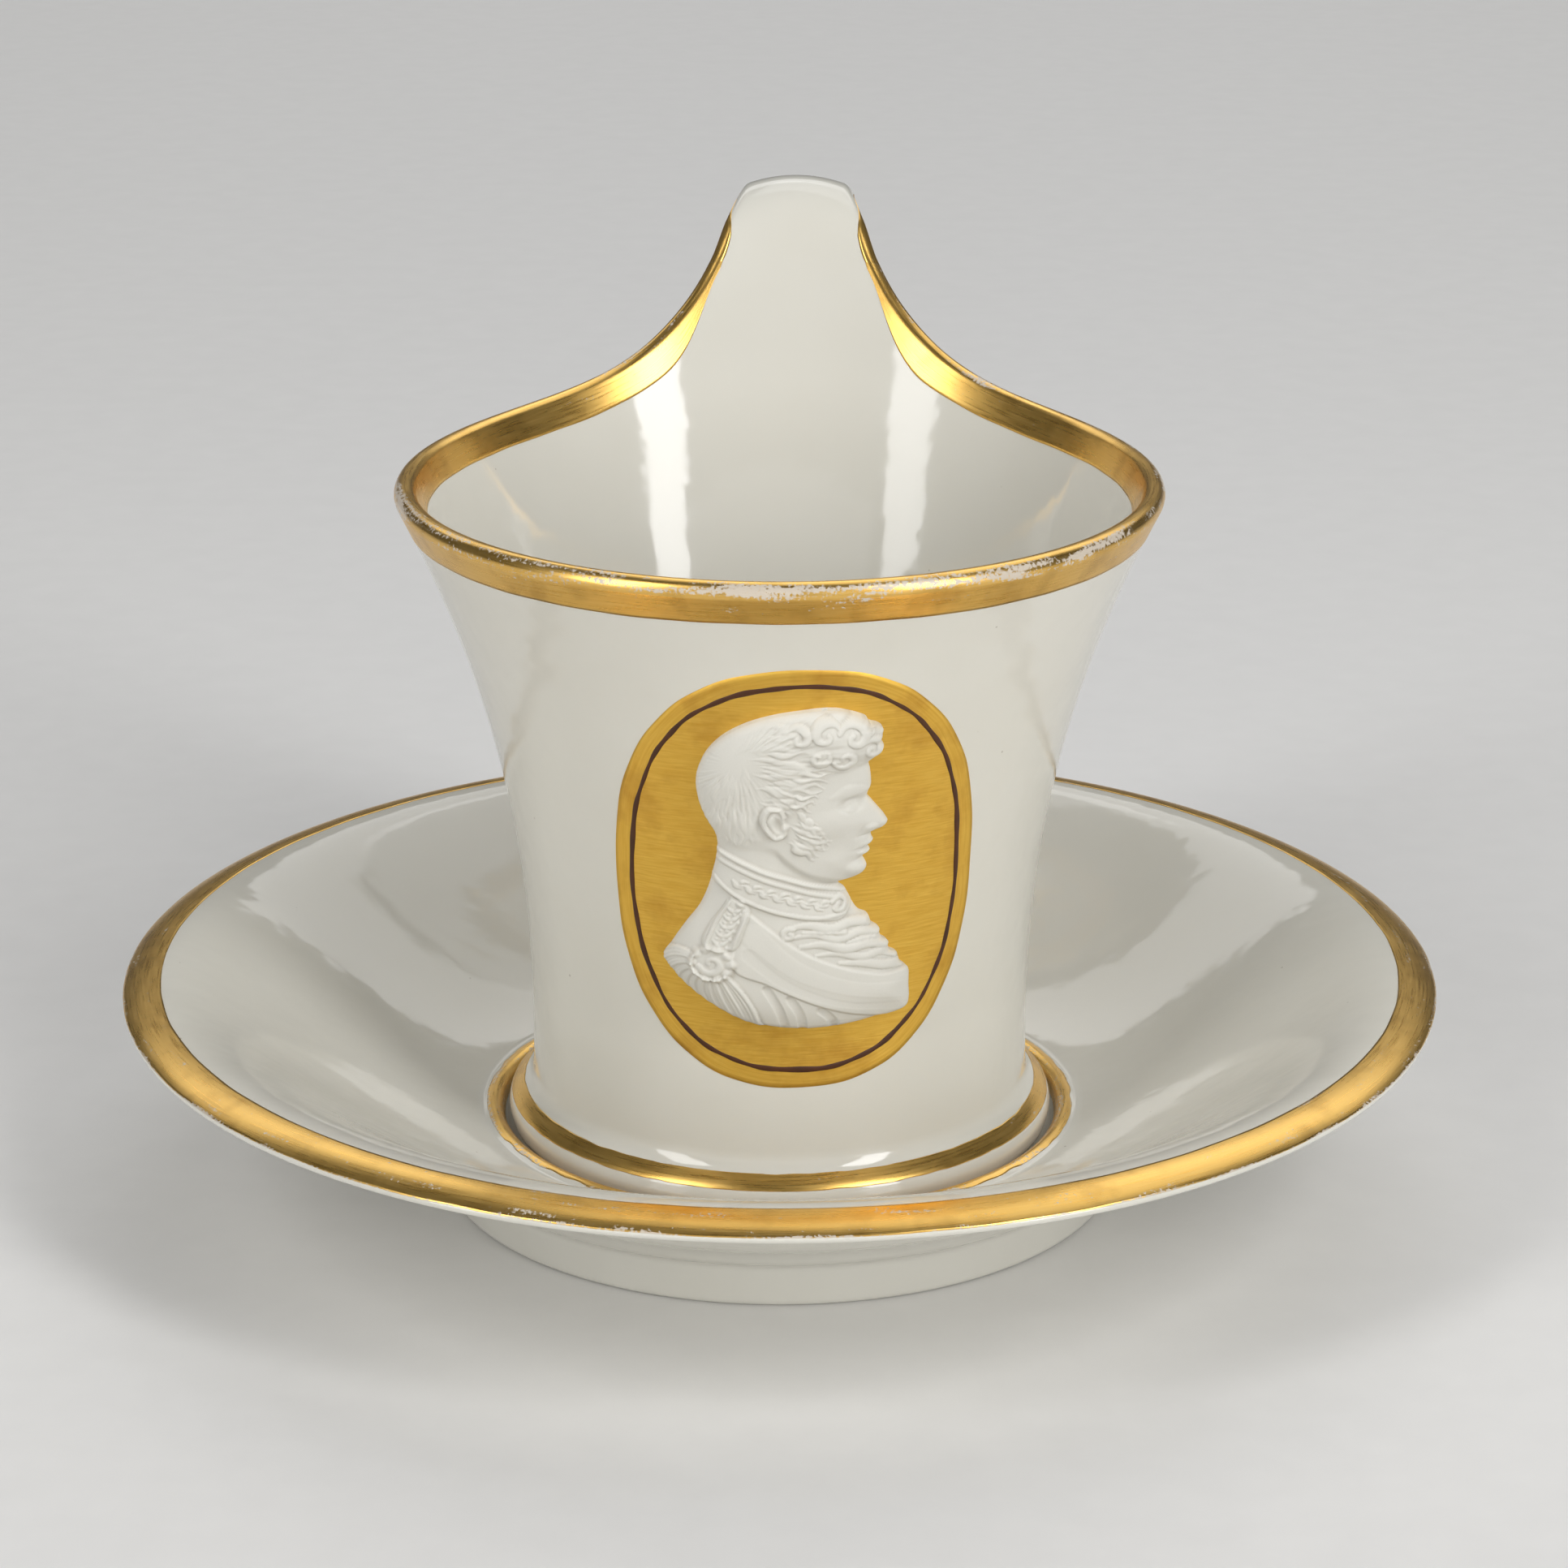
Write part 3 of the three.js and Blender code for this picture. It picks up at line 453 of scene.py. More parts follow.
centre_line = np.concatenate([bezier(run, count + 1)[(0 if i == 0 else 1):]
                              for i, (run, count) in enumerate(zip(strap_runs, run_counts))])
headings = np.gradient(centre_line, axis=0)
headings[0] = wall_along
headings /= np.linalg.norm(headings, axis=1)[:, None]
local = [np.linspace(0, 1, count + 1) for count in run_counts]
strap_thick, crown_high = 2.6, 1.4
crest_half, back_half, foot_half = 7.0, 5.5, 6.5
half_width = np.concatenate([
    np.interp(1 - (1 - local[0]) ** 1.5, [0, 1], [tongue_half + cup_wall / 2, crest_half]),
    np.interp(smooth(0, 1, local[1]), [0, 1], [crest_half, back_half])[1:],
    np.interp(smooth(0.55, 1, local[2]), [0, 1], [back_half, foot_half])[1:]])
rise = np.concatenate([smooth(0, 1, local[0]), np.ones(run_counts[1] + run_counts[2])])
strap_round = (cup_wall + (strap_thick - cup_wall) * rise) / 2
strap_crown = crown_high * rise
strap_flat = half_width - strap_round
strap_bend = (1 - rise) / wall_radius(seam_z)
to_foot = run_length(centre_line[::-1])[::-1]
radial = np.array([np.sin(handle_angle), -np.cos(handle_angle), 0.0])
lateral = np.array([np.cos(handle_angle), np.sin(handle_angle), 0.0])


def strap_points(across, out):
    """Places points on every station: across the strap, and out to the side that is the wall's outside."""
    share = across / (strap_flat + strap_round)[:, None]
    crown = strap_crown[:, None] * np.clip(-out / strap_round[:, None], 0, 1) * np.clip(1 - share ** 2, 0, 1)
    lift = out - crown - strap_bend[:, None] * across ** 2 / 2
    distance = centre_line[:, :1] + headings[:, 1:] * lift
    z = centre_line[:, 1:] - headings[:, :1] * lift
    return radial * distance[..., None] + lateral * across[..., None] + np.array([0, 0, 1.0]) * z[..., None]


print("strap, mm long: %.1f" % to_foot[0])

# %% Cup and strap as one skin
sides = np.linspace(-1, 1, len(tongue_turns) + 2)
swing = np.linspace(0, np.pi, 13)
flat, round_ = strap_flat[:, None], strap_round[:, None]
across = np.concatenate([flat * sides, flat + round_ * np.sin(swing[1:]), flat * -sides[1:],
                         -flat - round_ * np.sin(swing[1:-1])], axis=1)
out = np.concatenate([round_ + 0 * sides, round_ * np.cos(swing[1:]), -round_ + 0 * sides[1:],
                      -round_ * np.cos(swing[1:-1])], axis=1)
# A soft fillet spreads the strap over its last stretch, where it was pressed on the wall.
foot_fillet = 1.6
near_foot = 1 - np.clip(to_foot / foot_fillet, 0, 1)
spread = foot_fillet * (1 - np.sqrt(1 - near_foot ** 2))[:, None]
size = np.hypot(across, out)
tube = strap_points(across * (1 + spread / size), out * (1 + spread / size))
first, last = skin_index[:, 0], skin_index[:, len(rim_turns) - 1]
tongue = skin_index[:, len(rim_turns):]
seam = np.concatenate([[last[lip_start]], tongue[lip_start], first[lip_start:lip_end + 1],
                       tongue[lip_end][::-1], last[lip_start + 1:lip_end + 1][::-1]])
miss = skin.reshape(-1, 3)[seam] - tube[0]
fade = 1 - smooth(0, 0.5, np.arange(len(tube)) / run_counts[0])
tube = tube + fade[:, None, None] * miss
# The end of the strap slides along its run until it lies just inside the wall.
heading = np.array([*(radial * headings[-1, 0])[:2], headings[-1, 1]])
landing = tube[-1].copy()
for _ in range(60):
    gap = np.hypot(landing[:, 0], landing[:, 1]) - wall_radius(landing[:, 2]) + 0.25
    landing += 0.8 * gap[:, None] * heading
reach = smooth(4.0, 0.0, to_foot)
tube += reach[:, None, None] * (landing - tube[-1])
tube_index = skin_index.size + numbered(tube)
tube_index[0] = seam
faces += grid_faces(tube_index, closed=True) + [tube_index[-1].tolist()]
points = np.concatenate([skin.reshape(-1, 3), tube.reshape(-1, 3)])
add_piece("cup_and_strap_glazed", points, faces, porcelain, "cup", ["cup_body", "cup_handle"], "porcelain")

# %% [markdown]
# ## Burnished gold
# The bands are powdered gold in oil, brushed on over the glaze, fired, and rubbed bright. The eye sees warm
# metal with fine streaks along the brush, darker where the layer is thin. Use has worn it through in long
# pale streaks, mostly on the lip. A pattern in space would run straight through a band, so each mesh holds
# how far along and across its band a point lies, in millimetres, and the streaks follow the brush. The field
# "wear" says where it rubs most.

# %% Burnished gold
def burnished_gold(tree):
    """Fired gold rubbed bright: warm metal, streaked along the brush and worn through in places."""
    place = add_node(tree, "TexCoord").outputs["Object"]
    along, across, wear = [add_node(tree, "Attribute", attribute_name=name).outputs["Fac"]
                           for name in ("along", "across", "wear")]
    band = add_node(tree, "CombineXYZ", {"X": along, "Y": across}).outputs[0]
    # Brush streaks: 0.25 mm apart across the band, drawn out about 6 mm along it.
    brushed = add_node(tree, "Mapping", {"Vector": band, "Scale": (1 / 6.25, 1 / 0.25, 1.0)}).outputs[0]
    streak = add_node(tree, "TexNoise", {"Vector": brushed, "Scale": 1.0, "Detail": 4.0}).outputs["Fac"]
    tone = add_node(tree, "Mix", {"Factor": streak, "A": linear("#e0ad4d"), "B": linear("#f7cf7d")},
                    data_type="RGBA").outputs["Result"]
    # Where the layer is thin it is darker, in patches about 4.5 mm wide.
    patch = add_node(tree, "TexNoise", {"Vector": place, "Scale": metre / 4.545,
                                        "Detail": 3.0}).outputs["Fac"]
    thin = add_node(tree, "MapRange", {"Value": patch, "From Min": 0.52, "From Max": 0.75,
                                       "To Max": 0.4}).outputs["Result"]
    colour = add_node(tree, "Mix", {"Factor": thin, "A": tone, "B": linear("#a67a34")},
                      data_type="RGBA").outputs["Result"]
    rough = add_node(tree, "MapRange", {"Value": streak, "From Min": 0.3, "From Max": 0.7,
                                        "To Min": 0.25, "To Max": 0.34}).outputs["Result"]
    grooved = add_node(tree, "Bump", {"Height": streak, "Strength": 0.1, "Distance": 0.00006}).outputs[0]
    metal = add_node(tree, "BsdfPrincipled", {
        "Base Color": colour, "Metallic": 1.0, "Roughness": rough, "Normal": grooved})
    bare = add_node(tree, "BsdfPrincipled", {"Base Color": linear("#cbbfae"), "Roughness": 0.3, "IOR": 1.5})
    # Rubbing leaves bare streaks about 9 mm long and 1 mm wide, with a ragged edge of 0.4 mm grains.
    rubbed = add_node(tree, "Mapping", {"Vector": band, "Scale": (1 / 9.09, 1 / 1.111, 1.0)}).outputs[0]
    long_patch = add_node(tree, "TexNoise", {"Vector": rubbed, "Scale": 1.0, "Detail": 3.0}).outputs["Fac"]
    grains = add_node(tree, "TexNoise", {"Vector": place, "Scale": metre / 0.3846, "Detail": 3.0,
                                         "Roughness": 0.6}).outputs["Fac"]
    ragged = add_node(tree, "Math", {0: grains, 1: 0.8, 2: long_patch}, operation="MULTIPLY_ADD").outputs[0]
    limit = add_node(tree, "MapRange", {"Value": wear, "To Min": 1.25, "To Max": 0.77}).outputs["Result"]
    edge = add_node(tree, "Math", {0: ragged, 1: limit}, operation="SUBTRACT").outputs[0]
    worn = add_node(tree, "MapRange", {"Value": edge, "From Min": -0.05, "From Max": 0.06}).outputs["Result"]
    return add_node(tree, "MixShader", {0: worn, 1: metal.outputs[0], 2: bare.outputs[0]})


gold = new_material("brushed_gold_burnished", burnished_gold)


def wobble(position, size, *waves):
    """A hand-drawn line's unevenness: a few waves of different length, in millimetres."""
    return size * sum(np.sin(2 * np.pi * position / length + phase) for length, phase in waves) / len(waves)


def gilded_band(name, points, along, across, wear, body, nodes, closed):
    """A thin skin of gold. Its first and last rows are tucked under the glaze."""
    faces = grid_faces(numbered(points), closed)
    return add_piece(name, points, faces, gold, body, nodes, "gold", along=along, across=across, wear=wear)


# %% [markdown]
# ## Gold on the saucer and the foot
# The gilder holds a loaded brush still while the piece turns on a wheel, so each band is a ring, a little
# uneven at both edges. It could be a mask in the glaze's material. Here it is a piece of its own, a stretch
# of the turned profile a hair's breadth above the glaze, so that it keeps a crisp edge and its own wear.

# %% Gold on the saucer and the foot
def gilded_ring(name, line, body, node, wear_row, bottom_wave, top_wave):
    """Gold on a stretch of a turned profile, with an uneven first and last edge."""
    steps = run_length(line)
    angle = np.linspace(0, 2 * np.pi, 360, endpoint=False)
    radius = line[:, 0].mean()
    arc, full = angle * radius, 2 * np.pi * radius
    low = wobble(arc, bottom_wave, (full / 7, 0.4), (full / 17, 1.9), (full / 43, 2.6))
    high = wobble(arc, top_wave, (full / 5, 2.2), (full / 19, 0.7), (full / 47, 1.1))
    # The strokes run both ways round from the left and meet on the right, so the pattern has no seam.
    stroke = np.abs((angle - 1.75) % (2 * np.pi) - np.pi) * radius
    across = low + (steps[-1] + high - low) * np.linspace(0, 1, 18)[:, None]
    across = np.concatenate([across[:1], across, across[-1:]])
    points = []
    for row, lift in zip(across, [-gold_leaf] + [gold_leaf] * 18 + [-gold_leaf]):
        laid = offset_line(line, lift)
        points.append(around(np.interp(row, steps, laid[:, 0]), angle, np.interp(row, steps, laid[:, 1])))
    wear = wear_row(across / steps[-1])
    gilded_band(name, np.stack(points), stroke + 0 * across, across, wear, body, [node], True)


gilded_ring("saucer_rim_gold", saucer_lip[1:], "saucer", "saucer_rim_gilding",
            lambda share: 0.25 + 0.5 * smooth(0.9, 1.0, share), -0.1, 0.1)
gilded_ring("saucer_well_gold", ring_bead[:17], "saucer", "saucer_well_gilding",
            lambda share: 0.35 + 0.35 * smooth(0.65, 1.0, share), 0.1, 0.35)
gilded_ring("foot_gold", bezier(foot_line, 101)[23:61][::-1], "cup", "foot_gilding",
            lambda share: 0.15 + 0 * share, 0.12, 0.12)

# %% [markdown]
# ## Gold on the lip
# The lip is gilded inside and out. On the tongue both edges of the band draw together, and from the seam on
# only the strap's edges are gold. The band is one skin over the lip's round, with an uneven hand-drawn edge.

# %% Gold on the lip
lip_band, seam_band, lip_round = 2.9, 0.35, 3.8
z = rim_height(rim_turns)
climb = z - lip_z
angle = handle_angle + rim_turns
arc = run_length(wall_point(angle, z, 0.0))
band = seam_band + (lip_band - seam_band) * smooth(0.94, 0.35, climb / tongue_rise)
drop = band * np.hypot(1, climb / tongue_spread)
uneven = smooth(0, 6, drop)
inner_edge = drop * (1 - 0.1 * smooth(tongue_rise, 0, climb))
inner_edge += wobble(arc, 0.12, (61.0, 0.3), (23.0, 1.2), (9.0, 2.0)) * uneven
outer_edge = drop + wobble(arc, 0.12, (53.0, 1.3), (19.0, 0.2), (8.0, 2.9)) * uneven
rows = [wall_point(angle, z - inner_edge, -cup_wall + gold_leaf)]
rows += [wall_point(angle, z - inner_edge * s, -cup_wall - gold_leaf) for s in np.linspace(1, 0, 10)[:-1]]
rows += [lip_point(rim_turns, s, gold_leaf) for s in np.linspace(1, 0, 17)]
rows += [wall_point(angle, z - outer_edge * s, gold_leaf) for s in np.linspace(0, 1, 10)[1:]]
rows += [wall_point(angle, z - outer_edge, -gold_leaf)]
across = np.concatenate([[-lip_band], np.linspace(-lip_band, 0, 10)[:-1], np.linspace(0, lip_round, 17),
                         lip_round + np.linspace(0, lip_band, 10)[1:], [lip_round + lip_band]])[:, None]
# Use rubs the lip's outer shoulder at the front, and its top where it climbs to the tongue.
rub_middle = 2.7 - 1.3 * smooth(0.0, 3.0, climb)
rub = np.exp(-((across - rub_middle) / 1.1) ** 2)
patchy = 0.75 + 0.25 * np.sin(arc / 17.0) * np.sin(arc / 7.3 + 1.0)
wear = 0.12 + 0.86 * rub * patchy * (1 - 0.6 * smooth(2.0, 12.0, climb))
gilded_band("lip_gold", np.stack(rows), arc + 0 * across, across + 0 * arc, wear, "cup", ["rim_gilding"],
            False)

# %% [markdown]
# ## Gold on the strap
# The strap's gold is laid on the strap's own skin: each row of it lies between two columns of the tube and
# is lifted a hair's breadth. It covers the edge's round. Inside the loop it reaches 1 mm further, and on the
# crowned side it draws back to the edge by the time it gets to the crest. A small gusset joins it to the
# lip's band below the seam.

# %% Gold on the strap
ring_size = tube.shape[1]
ring_way = np.roll(tube, -1, axis=1) - np.roll(tube, 1, axis=1)
tube_out = np.cross(ring_way, np.gradient(tube, axis=0))
tube_out /= np.linalg.norm(tube_out, axis=-1, keepdims=True)
print("strap skin faces out: %.2f" % (tube_out[60, 12] @ (tube[60, 12] - tube[60].mean(axis=0))))


def on_strap(column, lift):
    """Points of the strap's skin at a column between two of its own, one per station, lifted off it."""
    low = np.floor(column).astype(int)
    part = (column - low)[:, None]
    here, rows = low % ring_size, np.arange(len(tube))
    there = (low + 1) % ring_size
    point = tube[rows, here] * (1 - part) + tube[rows, there] * part
    return point + lift * (tube_out[rows, here] * (1 - part) + tube_out[rows, there] * part)


column_width = 2 * strap_flat / (len(sides) - 1)
round_columns, gold_wide, gusset_high = 12, 5.5, 2.18 * seam_band
highest = np.maximum.accumulate(centre_line[:, 1])
cover = round_columns * (1 - 0.4 * smooth(99.0, 103.0, highest))
past_round = seam_band * smooth(5.0, 0.0, highest - highest[0])
arc = to_foot[0] - to_foot
uneven = wobble(arc, 0.1, (31.0, 0.4), (13.0, 1.5), (5.0, 2.2)) * smooth(0, 4, arc)
inside = seam_band + (1 - seam_band) * smooth(0, 6, arc) + uneven
laid = to_foot > foot_fillet
inward, down = np.meshgrid(np.linspace(0, 1, 8), np.linspace(0, 1, 8))
for name, side, corner in (("left", 1, len(sides) - 1), ("right", -1, 0)):
    first = corner - side * inside / column_width
    last = corner + side * (cover + past_round / column_width)
    rows = [on_strap(first, -gold_leaf)]
    rows += [on_strap(first + (last - first) * s, gold_leaf) for s in np.linspace(0, 1, 22)]
    rows += [on_strap(last, -gold_leaf)]
    points = np.stack(rows)[:, laid]
    index = numbered(points)
    faces = grid_faces(index if side < 0 else index[::-1])
    across = np.concatenate([[0], np.linspace(0, gold_wide, 22), [gold_wide]])[:, None] + 0 * arc[laid]
    along = (arc[laid] + 0 * across).ravel()
    points, across = points.reshape(-1, 3), across.ravel()
    for face_side, lift in ((0.0, gold_leaf), (-cup_wall, -gold_leaf)):
        turn = -side * (tongue_angle - seam_band * inward / wall_radius(seam_z))
        low = seam_z - gusset_high * (1 - inward) * down
        gusset = wall_point(handle_angle + turn, low, face_side + lift)
        patch = len(points) + numbered(gusset)
        faces += grid_faces(patch if (side > 0) == (face_side == 0.0) else patch[::-1])
        points = np.concatenate([points, gusset.reshape(-1, 3)])
        along = np.concatenate([along, np.ravel(inward)])
        across = np.concatenate([across, np.ravel(down)])
    wear = 0.18 + 0.3 * np.exp(-((across - 2.6) / 0.9) ** 2)
    add_piece("strap_gold_" + name, points, faces, gold, "cup", ["handle_gilding_" + name], "gold",
              along=along, across=across, wear=wear)

# %% [markdown]
# ## Portrait medallion
# An oval of gold, left matt as it comes from the kiln, with a brown painted line inside its edge. It was
# brushed on with level strokes, so the grain lies across the cup. The oval is laid out flat in millimetres
# across and up, and then wrapped round the wall. Pressed on straight from the front, it would be stretched
# at its sides.

# %% The matt gold oval and its painted line
medallion_turn, medallion_z = np.radians(3.7), 47.1
oval_wide, oval_high, oval_power = 20.9, 25.7, 2.3


def wrap(across, up, offset):
    """A point of the flat layout, wrapped round the wall."""
    z = medallion_z + up
    return wall_point(medallion_turn + across / wall_radius(z), z, offset)


def oval(swing, inset):
    """The rounded oval's edge at each angle, drawn in by an inset."""
    c, s = np.cos(swing), np.sin(swing)
    return ((oval_wide - inset) * np.sign(c) * np.abs(c) ** (2 / oval_power),
            (oval_high - inset) * np.sign(s) * np.abs(s) ** (2 / oval_power))


def matt_gold(tree):
    """Fired gold left as it is: a soft sheen, the grain of level strokes and a few brown stains."""
    place = add_node(tree, "TexCoord").outputs["Object"]
    # Brush grain: 0.2 mm from stroke to stroke, each about 3 mm long.
    level = (metre / 3.03, metre / 3.03, metre / 0.2)
    brushed = add_node(tree, "Mapping", {"Vector": place, "Scale": level}).outputs[0]
    inside = add_node(tree, "TexNoise", {"Vector": brushed, "Scale": 1.0, "Detail": 4.0}).outputs["Fac"]
    # Outside the painted line the strokes follow the oval, 0.25 mm apart and about 5 mm long.
    along, inset = [add_node(tree, "Attribute", attribute_name=name).outputs["Fac"]
                    for name in ("along", "inset")]
    border = add_node(tree, "CombineXYZ", {"X": along, "Y": inset}).outputs[0]
    followed = add_node(tree, "Mapping", {"Vector": border, "Scale": (1 / 5, 1 / 0.25, 1.0)}).outputs[0]
    outside = add_node(tree, "TexNoise", {"Vector": followed, "Scale": 1.0, "Detail": 4.0}).outputs["Fac"]
    at_line = add_node(tree, "MapRange", {"Value": inset, "From Min": 2.0, "From Max": 2.3}).outputs["Result"]
    grain = add_node(tree, "Mix", {"Factor": at_line, "A": outside, "B": inside},
                     data_type="FLOAT").outputs["Result"]
    tone = add_node(tree, "Mix", {"Factor": grain, "A": linear("#deac43"), "B": linear("#fad66c")},
                    data_type="RGBA").outputs["Result"]
    # The stains are about 8 mm wide.
    cloud = add_node(tree, "TexNoise", {"Vector": place, "Scale": metre / 7.692, "Detail": 4.0,
                                        "Roughness": 0.6}).outputs["Fac"]
    stain = add_node(tree, "MapRange", {"Value": cloud, "From Min": 0.52, "From Max": 0.78,
                                        "To Max": 0.5}).outputs["Result"]
    colour = add_node(tree, "Mix", {"Factor": stain, "A": tone, "B": linear("#b4752a")},
                      data_type="RGBA").outputs["Result"]
    grooved = add_node(tree, "Bump", {"Height": grain, "Strength": 0.35, "Distance": 0.00008}).outputs[0]
    return add_node(tree, "BsdfPrincipled", {
        "Base Color": colour, "Metallic": 1.0, "Roughness": 0.58, "Normal": grooved})


swing = np.linspace(0, 2 * np.pi, 320, endpoint=False)
ragged = wobble(swing, 0.1, (2 * np.pi / 3, 0.5), (2 * np.pi / 8, 1.0), (2 * np.pi / 21, 2.0))
edge_across, edge_up = oval(swing, ragged)
shares = np.concatenate([np.linspace(0.02, 1, 44), [1.0]])
rows = [wrap(edge_across * s, edge_up * s, gold_leaf) for s in shares[:-1]]
points = np.stack(rows + [wrap(edge_across, edge_up, -gold_leaf)])
inset = (1 - shares)[:, None] * np.hypot(edge_across, edge_up)
edge = np.stack([edge_across, edge_up], -1)
along = np.cumsum(np.linalg.norm(np.diff(edge, axis=0, append=edge[:1]), axis=1))
# The strokes run both ways round the oval and meet, so there is no seam.
along = np.abs(along - along[-1] / 2)
index = numbered(points)
faces = grid_faces(index[::-1], closed=True) + [index[0].tolist()]
ground = new_material("brushed_gold_matt", matt_gold)
add_piece("medallion_gold", points, faces, ground, "cup", ["medallion_ground"], "matt_gold",
          along=along + 0 * inset, inset=inset)


def brown_enamel(tree):
    """Brown enamel, painted and fired: dark and satin, a little paler every 2 mm or so."""
    place = add_node(tree, "TexCoord").outputs["Object"]
    stroke = add_node(tree, "TexNoise", {"Vector": place, "Scale": metre / 2, "Detail": 3.0}).outputs["Fac"]
    tone = add_node(tree, "Mix", {"Factor": stroke, "A": linear("#2e1402"), "B": linear("#552a08")},
                    data_type="RGBA").outputs["Result"]
    return add_node(tree, "BsdfPrincipled", {"Base Color": tone, "Roughness": 0.5, "IOR": 1.5})


swing = np.linspace(0, 2 * np.pi, 480, endpoint=False)
line_middle = 2.15 + wobble(swing, 0.12, (2 * np.pi / 3, 0.2), (2 * np.pi / 7, 1.4), (2 * np.pi / 19, 0.3))
line_half = 0.25 + wobble(swing, 0.09, (2 * np.pi / 4, 1.0), (2 * np.pi / 11, 0.1), (2 * np.pi / 37, 2.3))
# The line is a low mound of paint: each pair is a place across it, in half widths, and a height in mm.
mound = ((-1.15, -0.02), (-1.0, 0.04), (-0.5, 0.07), (0.0, 0.08), (0.5, 0.07), (1.0, 0.04), (1.15, -0.02))
points = np.stack([wrap(*oval(swing, line_middle + side * line_half), gold_leaf + lift)
                   for side, lift in mound])
enamel = new_material("brown_enamel_painted", brown_enamel)
add_piece("medallion_line_painted", points, grid_faces(numbered(points), closed=True), enamel, "cup",
          ["medallion_line"], "brown_enamel")

# %% [markdown]
# ## Biscuit bust
# The bust is porcelain pressed in a mould, fired without glaze and stuck on the oval, so it is white and
# quite matt. It could be sculpted by hand. Here it is a field of heights over the oval: rows of points run
# between the outline's back and front, and each point is lifted by the forms below it. The face is a plain
# classical one on the schoolbook thirds: hair line, brow, foot of the nose and chin at equal distances.

# %% Outline of the bust
from mathutils.kdtree import KDTree

back_line = through([
    (1.0, -18.25), (-3.0, -17.9), (-5.6, -17.2), (-8.4, -15.8), (-11.2, -13.9), (-13.4, -11.9),
    (-14.6, -10.2), (-13.6, -8.3), (-12.2, -6.0), (-10.6, -3.6), (-9.7, -1.4), (-9.1, 1.0), (-8.7, 3.2),
    (-8.8, 5.4), (-10.0, 7.6), (-10.8, 10.0), (-11.0, 12.6), (-10.3, 15.0), (-8.6, 17.3), (-6.0, 19.1),
    (-3.0, 20.2), (0.0, 20.75), (1.6, 20.95), (2.6, 21.0)], 900)
front_line = through([
    (1.0, -18.25), (5.0, -18.05), (9.0, -17.4), (12.3, -16.5), (12.35, -14.0), (12.2, -11.9),
    (11.2, -10.9), (11.0, -10.0), (10.0, -9.3), (9.9, -8.4), (9.0, -7.6), (8.9, -6.7), (8.0, -5.9),
    (7.6, -4.9), (6.5, -4.2), (5.9, -3.2), (5.4, -2.2), (4.9, -1.3), (4.3, -0.75), (5.2, -0.3),
    (6.3, 0.1), (7.05, 0.65), (7.3, 1.3), (7.1, 1.95), (6.85, 2.4), (7.25, 2.85), (7.6, 3.2), (7.5, 3.55),
    (7.3, 3.75), (7.7, 4.05), (7.95, 4.45), (7.75, 4.95), (7.7, 5.4), (8.5, 5.65), (9.3, 6.05),
    (9.55, 6.5), (9.3, 7.1), (8.5, 8.2), (7.6, 9.4), (7.15, 10.05), (7.25, 10.6), (7.5, 11.2),
    (7.5, 12.2), (7.35, 13.4), (7.2, 14.3), (7.9, 14.9), (8.6, 15.6), (8.7, 16.4), (8.15, 17.0),
    (8.5, 17.6), (8.6, 18.3), (7.9, 18.9), (7.1, 19.2), (6.8, 19.7), (5.9, 20.2), (4.8, 20.6),
    (3.7, 20.9), (2.6, 21.0)], 1600)
bottom, top = -18.25, 21.0
end_zone = 0.12
ends = end_zone * np.linspace(0.06, 0.92, 9) ** 2
row_up = np.linspace(bottom + end_zone, top - end_zone, 360)
row_up = np.sort(np.concatenate([bottom + ends, row_up, top - ends]))


def outline_at(line, up):
    """How far across an outline lies at a height."""
    return np.interp(up, np.maximum.accumulate(line[:, 1]), line[:, 0])


def evened(side):
    """An outline with its small steps rubbed out, for the inner columns. It is left as it is at both ends."""
    even = side.copy()
    for _ in range(180):
        even[1:-1] = (even[:-2] + 2 * even[1:-1] + even[2:]) / 4
    near_end = smooth(3.0, 0.5, np.minimum(row_up - bottom, top - row_up))
    return even + (side - even) * near_end


columns = np.linspace(0, 1, 241)
columns = columns - 0.35 * np.sin(2 * np.pi * columns) / (2 * np.pi)
back, front = outline_at(back_line, row_up), outline_at(front_line, row_up)
even_back, even_front = evened(back), evened(front)
x = even_back[:, None] + (even_front - even_back)[:, None] * columns
x += (back - even_back)[:, None] * smooth(0.22, 0.0, columns)
x += (front - even_front)[:, None] * smooth(0.78, 1.0, columns)
y = row_up[:, None] + 0 * x
outline = np.concatenate([back_line, front_line[::-1]])
tree = KDTree(len(outline))
for i, (across, up) in enumerate(outline):
    tree.insert((across, up, 0), i)
tree.balance()
edge_distance = np.array([tree.find((a, u, 0))[2] for a, u in zip(x.flat, y.flat)]).reshape(x.shape)
print("bust, mm wide and high: %.1f %.1f" % (np.ptp(x), np.ptp(y)))

# %% [markdown]
# ### Ways to raise the clay
# Five small tools shape the field. A swelling is a rounded lump, a ridge is a roll of clay along a line, a
# plate is a flat layer with a soft edge, softening rubs sharp changes away, and a comb draws a row of wavy
# locks from one line to another.

# %% Ways to raise the clay
def swelling(across, up, wide, high, turn=0.0):
    """A rounded lump, 1 at its middle and 0 at its edge."""
    c, s = np.cos(np.radians(turn)), np.sin(np.radians(turn))
    dx, dy = x - across, y - up
    reach = ((dx * c + dy * s) / wide) ** 2 + ((dy * c - dx * s) / high) ** 2
    return np.clip(1 - reach, 0, 1) ** 1.5


